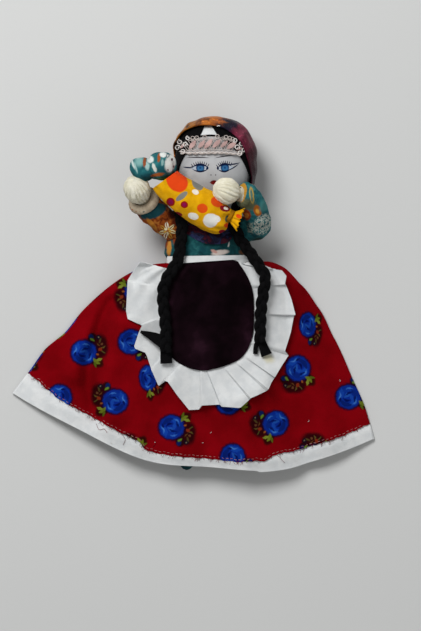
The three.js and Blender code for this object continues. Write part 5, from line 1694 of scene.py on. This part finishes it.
def lace_net():
    """Threads of the openwork: borders, a net, loops above and rows of scallops below."""
    net = Form()
    for start, end, across, radius in LACE_BORDERS:
        fine = np.linspace(start, end, 120)
        net.tube(on_lace(fine, across + BORDER_WAVER * np.sin(90 * fine)), radius, 5)
    share = np.linspace(0, 1, 9)
    for start in np.arange(*NET_SPAN, NET_SPACING / LACE_LENGTH):
        for lean in (NET_LEAN, -NET_LEAN):
            net.tube(on_lace(start + lean * share, 0.14 + 0.74 * share), NET_THREAD, 4)
    turn = np.linspace(0, 2 * math.pi, 15)
    for centre in LACE_LOOPS:
        along = centre + LOOP_HALF / LACE_LENGTH * np.cos(turn)
        net.tube(on_lace(along, 0.98 + LOOP_HEIGHT * np.sin(turn), LOOP_LIFT), LOOP_THREAD, 5)
    swing = np.linspace(0, math.pi, 15)
    width = SCALLOP_WIDTH / LACE_LENGTH
    for scallop in np.arange(*SCALLOP_SPAN, width):
        along = scallop + width * (0.5 - 0.5 * np.cos(swing))
        for depth, radius in SCALLOP_ROWS:
            net.tube(on_lace(along, 0.08 - depth * np.sin(swing)), radius, 5)
    return net


def lace_scrolls():
    """White curls of thick thread at the ends, and the row of points along the lower edge."""
    curls = Form()
    turn = np.linspace(0, SCROLL_TURN, 30)
    for number, (along, across, radius) in enumerate(LACE_SCROLLS):
        spiral = radius * (1 - 0.09 * turn)
        ways = np.stack([np.cos(turn + 2 * number), np.sin(turn + 2 * number)], 1)
        places = lace_place(np.array(along), np.array(across)) + spiral[:, None] * ways
        curls.tube(front_of_head(places, LACE_LIFT + SCROLL_LIFT), SCROLL_THREAD, 6)
    fine = np.linspace(0.08, 0.92, 260)
    curls.tube(on_lace(fine, 0.08 * np.abs(np.sin(50 * fine)), POINTS_LIFT), POINTS_THREAD, 6)
    return curls


def lace_leaves():
    """Woven leaf patches that lean to the right across the net."""
    leaves = Form()
    share, wide = np.linspace(-1, 1, 13)[:, None], np.linspace(-1, 1, 7)[None]
    belly = wide * (1 - share**2)
    for leaf, size in LACE_LEAVES:
        along = leaf + size * (2.3 * share + 1.35 * belly) / LACE_LENGTH
        across = 0.55 + size * (0.27 * share - 0.06 * belly)
        leaves.shell(on_lace(along, across, LEAF_LIFT), LEAF_CLOTH)
    return leaves


dress(lace_net(), "lace_net", "lace", "head", "lace", "lace_headband")
dress(lace_leaves(), "lace_leaves", "lace_pink", "head", "lace")
dress(lace_scrolls(), "lace_scrolls", "lace_white", "head", "lace")

# The scarf's edge round the face, about the head's centre
SCARF_EDGE = [
    (-28.3, 12, 0), (-26.5, 15, 5.6), (-22.6, 20.2, 8.8), (-15.5, 24, 12.8), (-6, 25.6, 15.2),
    (4, 24.2, 16.8), (11, 20.6, 18), (16.5, 16.4, 18.4), (19.6, 11, 18.2), (21.5, 4, 17),
    (23, -4, 14.5), (23.5, -10, 11.5), (22.5, -16, 8), (19, -22, 0), (11, -24, -10), (0, -23, -14),
    (-11, -24, -12), (-20, -20, -11), (-25.5, -9, -11.5), (-27.5, 1, -11), (-28.5, 8, -8),
]
HEADSCARF_ROWS, HEADSCARF_COLUMNS = 56, 240
# Rows lie closer at the edge; the last one leaves a small hole at the back
HEADSCARF_POWER = 1.2
HEADSCARF_END = 0.995
HEADSCARF_FOLD = 0.4
HEADSCARF_WRINKLE = (7, 0.7, 6)
# Height and width of the rolled edge, and how far the back stays over the floor
SCARF_ROLL = 0.9
SCARF_ROLL_WIDTH = 3
SCARF_CLEARANCE = 0.4


def headscarf_middle():
    """The scarf from the edge round the face to the back of the head, with soft folds from crown to cheek."""
    closed = curve_through([*SCARF_EDGE, SCARF_EDGE[0]], HEADSCARF_COLUMNS)[:-1]
    share = np.linspace(0, 1, HEADSCARF_ROWS)[:, None, None] ** HEADSCARF_POWER
    ways = between(closed[None], np.array([0.0, 0.0, -1.0])[None, None], share * HEADSCARF_END)
    base = on_head(ways, np.full(ways.shape[:2], SCARF_LIFT)) - HEAD_CENTRE
    slant = base[..., 0] * 0.55 + base[..., 1] * 0.83
    folds = HEADSCARF_FOLD * np.sin(0.55 * slant + 0.12 * base[..., 2] + 1.0)
    folds = folds + wrinkle(base, *HEADSCARF_WRINKLE)
    rolled = SCARF_ROLL * np.exp(-np.linspace(0, 30, HEADSCARF_ROWS)[:, None] ** 2 / SCARF_ROLL_WIDTH**2)
    middle = on_head(ways, SCARF_LIFT + folds * smoothstep(share[..., 0], 0.02, 0.15) + rolled)
    middle[..., 2] = np.maximum(middle[..., 2], SURFACE + SCARF_CLEARANCE)
    return middle


scarf_cloth = headscarf_middle()
scarf_form = Form().shell(scarf_cloth, HEADSCARF_CLOTH, True)
scarf = dress(scarf_form, "headscarf_satin", "satin", "head", "satin", "headscarf")
# One stitch on the scarf's edge in the photo: its pixels, its lift over the scarf and its thread
SCARF_STITCH = [(217, 126.6), (218.5, 126.1), (220, 126.3)]
SCARF_STITCH_LIFT = 1.5
SCARF_STITCH_THREAD = 0.35
stitch_line = front_of_head(pixels(SCARF_STITCH) - HEAD_CENTRE[:2], SCARF_LIFT + SCARF_STITCH_LIFT)
scarf_stitch = Form().tube(stitch_line, SCARF_STITCH_THREAD, 8)
scarf_thread = dress(scarf_stitch, "headscarf_stitch", "lint", "head", "thread")

# Arms: the thread of the ties, its windings and their spacing in radii
THREAD_RADIUS = 0.4
TIE_TURNS = 3
TIE_SPACING = 1.7
SLEEVE_STEPS, SLEEVE_COLUMNS = 70, 72
ROOT_STEPS = 10
# Creases of the sleeve, coarse and fine: size, height and seed
SLEEVE_CREASES = [(7, 1.1, 7), (3, 0.4, 8)]
# The cuff's section: height along the arm and spread over the wrist's radius
CUFF_SECTION = [
    (-2.6, 0.4), (-2.0, 0.4), (-1.2, 0.3), (-0.4, 0.0), (0.4, -0.6), (1.0, -1.7), (1.4, -3.0), (1.6, -4.2),
]
CUFF_COLUMNS = 120
CUFF_CLOTH = 0.6
CUFF_GATHER = 0.35
CUFF_GATHERS = 22
# The hand: rows and columns, half width, the gathered neck's radius and rows, and its pleats
HAND_ROWS, HAND_COLUMNS = 60, 192
HAND_SPREAD = 9.0
HAND_NECK = 4.2
HAND_NECK_ROWS = [0.7, 1.6, 2.5]
HAND_PLEAT = 1.5
HAND_PLEATS = 8
HAND_WRINKLE = (4, 0.45)
# Where the wrist's thread lies past the wrist, and its radius round it
WRIST_TIE = (1.9, 5.0)


def along_axis(base, axis, points):
    """Points made along +Y, carried to a base with +Y along an axis."""
    axis = unit(np.array(axis, float))
    side = unit(np.cross(axis, (0, 0, 1)))
    above = np.cross(side, axis)
    return base + points[..., :1] * side + points[..., 1:2] * axis + points[..., 2:] * above


def revolve(radius, height, turn):
    """Points round +Y from radii and heights."""
    return np.stack(np.broadcast_arrays(radius * np.cos(turn), height, radius * np.sin(turn)), -1)


def tie(base, axis, at, radius):
    """Thread wound round a gathered neck."""
    angle = np.linspace(0, 2 * math.pi * TIE_TURNS, 30 * TIE_TURNS)
    height = at + THREAD_RADIUS * TIE_SPACING * (angle / (2 * math.pi) - TIE_TURNS / 2)
    points = np.stack([radius * np.cos(angle), height, radius * np.sin(angle)], 1)
    return Form().tube(along_axis(base, axis, points), THREAD_RADIUS, 7, unit(np.array(axis, float)))


def sleeve_form(sizes, wrist, axis):
    """A stuffed sleeve from the round end in the armhole to the wrist, creased at the elbow."""
    root = np.array([sizes["root"], *ARMHOLE], float)
    path = curve_through([root, sizes["elbow"], wrist - CUFF_LENGTH * axis, wrist], SLEEVE_STEPS)
    elbow_radius, wrist_radius = sizes["radii"]
    stations = [[0, ARM_ROOT_RADIUS], [0.4, elbow_radius], [1, wrist_radius]]
    radius = through(stations, np.linspace(0, 1, len(path)))
    tangent = unit(np.gradient(path, axis=0))
    start = np.linspace(math.pi / 2 - 0.1, 0.1, ROOT_STEPS)
    path = np.concatenate([path[0] - tangent[0] * ARM_ROOT_RADIUS * np.sin(start)[:, None], path])
    radius = np.concatenate([ARM_ROOT_RADIUS * np.cos(start), radius])
    tangent = np.concatenate([np.repeat(tangent[:1], ROOT_STEPS, 0), tangent])
    aside = unit(np.cross(tangent, (0, 0, 1)))
    above = np.cross(aside, tangent)
    turn = round_turns(SLEEVE_COLUMNS)[..., None]
    out = aside[:, None] * np.cos(turn) + above[:, None] * np.sin(turn)
    points = path[:, None] + out * radius[:, None, None]
    creases = sum(wrinkle(points, *shape) for shape in SLEEVE_CREASES)
    points += out * (creases * smoothstep(radius, 2, 8)[:, None])[..., None]
    return Form().rings(points)


def cuff_form(wrist, axis, radius):
    """A cuff that is drawn in over the wrist, with gathers."""
    turn = round_turns(CUFF_COLUMNS)
    height, spread = (column[:, None] for column in np.array(CUFF_SECTION).T)
    gathers = CUFF_GATHER * np.sin(CUFF_GATHERS * turn) * np.linspace(0.2, 1, len(CUFF_SECTION))[:, None]
    ring = revolve(spread + radius + gathers, height, turn)
    return Form().shell(along_axis(wrist, axis, ring), CUFF_CLOTH, True)


def hand_form(wrist, axis, seed, start, stretch):
    """A muslin ball gathered at the wrist, with fine pleats that fade over its crown."""
    turn = round_turns(HAND_COLUMNS)
    tilt = np.linspace(0, math.pi * 0.985, HAND_ROWS)[:, None]
    radius = np.where(tilt < 0.44, HAND_NECK, HAND_SPREAD * np.sin(tilt))
    radius = np.maximum(radius, np.where(tilt < 1, HAND_NECK, 0.3))
    height = start + stretch * HAND_RADIUS * (1 - np.cos(tilt))
    wander = turn + 0.10 * np.sin(3 * turn + seed) + 0.05 * np.sin(7 * turn) + 0.12 * np.sin(2 * tilt + seed)
    pleat = np.abs(np.sin(HAND_PLEATS * wander)) ** 0.6 - 0.75
    fade = smoothstep(tilt, 0.3, 0.8) * (1 - 0.75 * smoothstep(tilt, 1.6, 2.8))
    ball = along_axis(wrist, axis, revolve(radius + HAND_PLEAT * pleat * fade, height, turn))
    heart = wrist + axis * (start + HAND_RADIUS)
    uneven = wrinkle(ball, *HAND_WRINKLE, seed) * smoothstep(tilt, 0.5, 0.9)
    ball += unit(ball - heart) * uneven[..., None]
    neck_radius = np.full((len(HAND_NECK_ROWS), HAND_COLUMNS), HAND_NECK)
    stem = along_axis(wrist, axis, revolve(neck_radius, np.array(HAND_NECK_ROWS)[:, None], turn))
    return Form().rings(np.concatenate([stem, ball]))


# Each side with its seed, and where its hand starts past the wrist and how far it is stretched
for side, sizes, *shape in (("left", LEFT_ARM, 21, 0.4, 1.2), ("right", RIGHT_ARM, 22, 2.7, 1.03)):
    body = side + "_arm"
    wrist = np.array(sizes["wrist"], float)
    axis = unit(np.array(sizes["palm"], float) - wrist)
    sleeve_name = side + "_sleeve"
    stuffed = sleeve_form(sizes, wrist, axis)
    sleeve = dress(stuffed, sleeve_name + "_cloth", sleeve_name, body, "teal_print", sleeve_name)
    cuff_cloth = "beige" if side == "left" else "right_sleeve"
    cuff = cuff_form(wrist, axis, sizes["radii"][1])
    dress(cuff, side + "_cuff_cloth", cuff_cloth, body, "cream_cloth", side + "_cuff")
    wrist_tie = tie(wrist, axis, *WRIST_TIE)
    dress(wrist_tie, side + "_wrist_thread", "cream_thread", body, "thread", side + "_wrist_tie")
    hand_name = side + "_hand"
    gathered = hand_form(wrist, axis, *shape)
    hand = dress(gathered, hand_name + "_cloth", "cream", body, "cream_cloth", hand_name)

# Baby, in its own frame: the open end of its blanket at the origin, the feet towards +X
SWADDLE_ROWS, SWADDLE_COLUMNS = 100, 120
SWADDLE_WIDTHS = [
    [0, 9.6], [9, 11.4], [16.4, 12.6], [25.5, 13.2], [33, 13.3], [39.7, 12.5], [46, 9.9], [51, TIED_RADIUS],
]
SWADDLE_DROPS = [[0, 1.1], [9, 2.9], [16.4, 3.9], [25.5, 4.5], [33, 4.8], [39.7, 5], [46, 4.5], [51, 0]]
MOUTH_SLANT = 0.45
SWADDLE_FLATNESS = 0.9
FOOT_BULGE = 5.0
# Gathers at the tie and at the mouth, and creases, coarse and fine: size, height and seed
TIE_GATHER = 0.8
MOUTH_GATHER = 0.4
SWADDLE_CREASES = [(12, 0.9, 9), (5, 0.35, 10)]
TAIL_ROWS, TAIL_COLUMNS = 24, 144
TAIL_START, TAIL_LENGTH, TAIL_RADIUS = 51.3, 8, 7
TAIL_TURN = math.radians(11)
TAIL_FLATNESS = 0.72
TAIL_CLOTH = 0.6
# The tail stays narrow for this share of its length, then opens into this many pleats
TAIL_NARROW = 0.25
TAIL_PLEATS = 9
TAIL_PLEAT = 0.22
# Where the swaddle's thread lies past its end, and its radius round it
SWADDLE_TIE = (1.1, 4.6)
POUCH_ROWS, POUCH_COLUMNS = 56, 110
POUCH_POLE = 0.05
POUCH_FOLD = 0.07
POUCH_WRINKLE = (6, 0.8)


def in_arms(points):
    """Points of the baby's own frame, laid in the arms."""
    c, s = math.cos(BABY_TURN), math.sin(BABY_TURN)
    x, y, z = points[..., 0], points[..., 1], points[..., 2]
    return np.stack([c * x - s * y, s * x + c * y, z], -1) + BABY_NECK


def swaddle():
    """The wrapped blanket, gathered at the tie, with its foot sagging past it."""
    along = np.linspace(0, SWADDLE_LENGTH, SWADDLE_ROWS)[:, None]
    turn = round_turns(SWADDLE_COLUMNS)
    gather = TIE_GATHER * np.sin(11 * turn + 2 * np.sin(2 * turn)) * smoothstep(along, 36, 51)
    mouth = MOUTH_GATHER * np.sin(9 * turn + 1) * (1 - smoothstep(along, 0, 9))
    radius = along_curve(SWADDLE_WIDTHS, along) + gather * (1 - 0.5 * smoothstep(along, 46, 51)) + mouth
    drop = along_curve(SWADDLE_DROPS, along)
    y = radius * np.cos(turn) - drop
    sag = FOOT_BULGE * smoothstep(along, 34, 49) * smoothstep(-y, 1, 9)
    slant = MOUTH_SLANT * (1 - smoothstep(along, 0, 16)) * (y + drop - 1)
    points = np.stack([along + sag + slant, y, SWADDLE_FLATNESS * radius * np.sin(turn)], 2)
    out = unit(points - np.stack([along, -drop, 0 * along], 2))
    points += out * sum(wrinkle(points, *shape) for shape in SWADDLE_CREASES)[..., None]
    return Form().rings(in_arms(points))


def swaddle_tail():
    """The gathered cloth past the tie, opened into a pleated frill."""
    share = np.linspace(0, 1, TAIL_ROWS)[:, None]
    turn = round_turns(TAIL_COLUMNS)
    opened = lerp(TIED_RADIUS, TAIL_RADIUS, np.maximum(share - TAIL_NARROW, 0) / (1 - TAIL_NARROW))
    radius = opened * (1 + TAIL_PLEAT * share * np.cos(TAIL_PLEATS * turn))
    along = TAIL_LENGTH * share + 0.5 * np.cos(2 * TAIL_PLEATS * turn) * share
    aside = radius * np.cos(turn)
    c, s = math.cos(TAIL_TURN), math.sin(TAIL_TURN)
    x, y = TAIL_START + c * along - s * aside * share, s * along + aside
    middle = np.stack([x, y, TAIL_FLATNESS * radius * np.sin(turn)], 2)
    return Form().shell(in_arms(middle), TAIL_CLOTH, True)


def pouch(offset, radius, pleats, seed, stretch):
    """A stuffed lobe of the bonnet, stretched towards the neck, with folds that run out from it."""
    offset = np.array(offset, float)
    offset -= unit(offset) * radius * (stretch - 1)
    tilt = np.linspace(POUCH_POLE, math.pi - POUCH_POLE, POUCH_ROWS)[:, None]
    turn = round_turns(POUCH_COLUMNS)
    folds = POUCH_FOLD * np.sin(pleats * turn + np.sin(2 * turn)) * smoothstep(tilt, 1.0, 2.9)
    ball = revolve(radius * np.sin(tilt) * (1 + folds), stretch * radius * np.cos(tilt), turn)
    points = along_axis(offset, unit(offset), ball)
    points += unit(points - offset) * wrinkle(points, *POUCH_WRINKLE, seed)[..., None]
    return Form().rings(in_arms(points))


blanket = dress(swaddle(), "swaddle_cloth", "yellow", "right_arm", "yellow_print", "baby_swaddle")
dress(swaddle_tail(), "swaddle_tail_cloth", "yellow", "right_arm", "yellow_print", "baby_swaddle_tail")
tie_axis = (math.cos(BABY_TURN), math.sin(BABY_TURN), 0)
tie_base = in_arms(np.array([SWADDLE_LENGTH, 0.0, 0.0]))
swaddle_tie = tie(tie_base, tie_axis, *SWADDLE_TIE)
dress(swaddle_tie, "swaddle_thread", "ochre_thread", "right_arm", "thread", "baby_swaddle_tie")
crown_form = pouch(*BABY_HEAD, 9, 11, 0.92)
crown = dress(crown_form, "bonnet_crown", "bonnet", "right_arm", "teal_print", "baby_head")
gather_form = pouch(*BONNET_GATHER, 7, 12, 1.2)
bonnet = dress(gather_form, "bonnet_gather", "bonnet", "right_arm", "teal_print", "baby_bonnet_gather")

# Legs and feet
HIP_APART = 9.5
HIP_PLACE = 11.4
LEG_STEPS, LEG_SIDES = 40, 36
LEG_RADII = [[0, 7.1], [0.3, 7.5], [1, 5.6]]
LEG_WRINKLE = (9, 0.3, 12)
# The foot starts just past the ankle; it is thickest at its ball, thinner at the heel, and rounded at the toe
FOOT_STEPS = 30
FOOT_LENGTH = 15.2
FOOT_START = 0.3
FOOT_RADIUS = 5.8
FOOT_BALL = 0.44
HEEL_LIMIT = -0.35
TOE_RADIUS = 0.4
for side, sign, ankle in (("left", -1, LEFT_ANKLE), ("right", 1, RIGHT_ANKLE)):
    hip = np.array((WAIST[0] + HIP_APART * sign, HIP_PLACE, HIP_LEVEL))
    path = curve_through([hip, (hip + np.array(ankle)) / 2, ankle], LEG_STEPS)
    radius = through(LEG_RADII, np.linspace(0, 1, len(path)))
    leg_form = Form().tube(path, radius + wrinkle(path, *LEG_WRINKLE), LEG_SIDES)
    leg = dress(leg_form, side + "_leg_cloth", "leg", side + "_leg", "leg_cloth", side + "_leg")
    toe = np.linspace(0, 1, FOOT_STEPS)
    foot_path = np.array(ankle) + np.array([0, -FOOT_LENGTH, 0]) * toe[:, None] - np.array([0, FOOT_START, 0])
    past_ball = np.maximum((toe - FOOT_BALL) / (1 - FOOT_BALL), HEEL_LIMIT)
    foot_radius = np.maximum(FOOT_RADIUS * np.sqrt(np.maximum(1 - past_ball**2, 0)), TOE_RADIUS)
    foot_form = Form().tube(foot_path, foot_radius, LEG_SIDES)
    foot = dress(foot_form, side + "_foot_cloth", "leg", side + "_leg", "leg_cloth", side + "_foot")

# Floor and light, in metres; a lamp's place, size and power in watts
FLOOR_HALF = 6
FLOOR_ROUGHNESS = 0.95
KEY = ((-0.55, 0.95, 1.35), 0.8, 26)
FILL = ((0.9, -0.5, 1.2), 1.2, 2.5)
SKY = 0.3
floor_corners = [(FLOOR_HALF * x, FLOOR_HALF * y, 0) for x, y in ((-1, -1), (1, -1), (1, 1), (-1, 1))]
floor_mesh = bpy.data.meshes.new("floor")
floor_mesh.from_pydata(floor_corners, [], [(0, 1, 2, 3)])
floor = bpy.data.objects.new("floor", floor_mesh)
bpy.context.scene.collection.objects.link(floor)
floor_paint = bpy.data.materials.new("pale_floor")
floor_paint.use_nodes = True
floor_shader = floor_paint.node_tree.nodes["Principled BSDF"].inputs
floor_shader["Base Color"].default_value = linear("c9cac9")
floor_shader["Roughness"].default_value = FLOOR_ROUGHNESS
floor_mesh.materials.append(floor_paint)


def lamp(name, place, size, power):
    """A round soft lamp that looks at the doll."""
    data = bpy.data.lights.new(name, "AREA")
    data.shape = "DISK"
    data.size = size
    data.energy = power
    light = bpy.data.objects.new(name, data)
    bpy.context.scene.collection.objects.link(light)
    light.location = place
    light.rotation_mode = "QUATERNION"
    light.rotation_quaternion = Vector(place).to_track_quat("Z", "Y")


lamp("key", *KEY)
lamp("fill", *FILL)
world = bpy.data.worlds.new("studio")
world.use_nodes = True
backdrop = world.node_tree.nodes["Background"].inputs
backdrop["Color"].default_value = (1, 1, 1, 1)
backdrop["Strength"].default_value = SKY
bpy.context.scene.world = world
bpy.context.scene.view_settings.view_transform = "Standard"
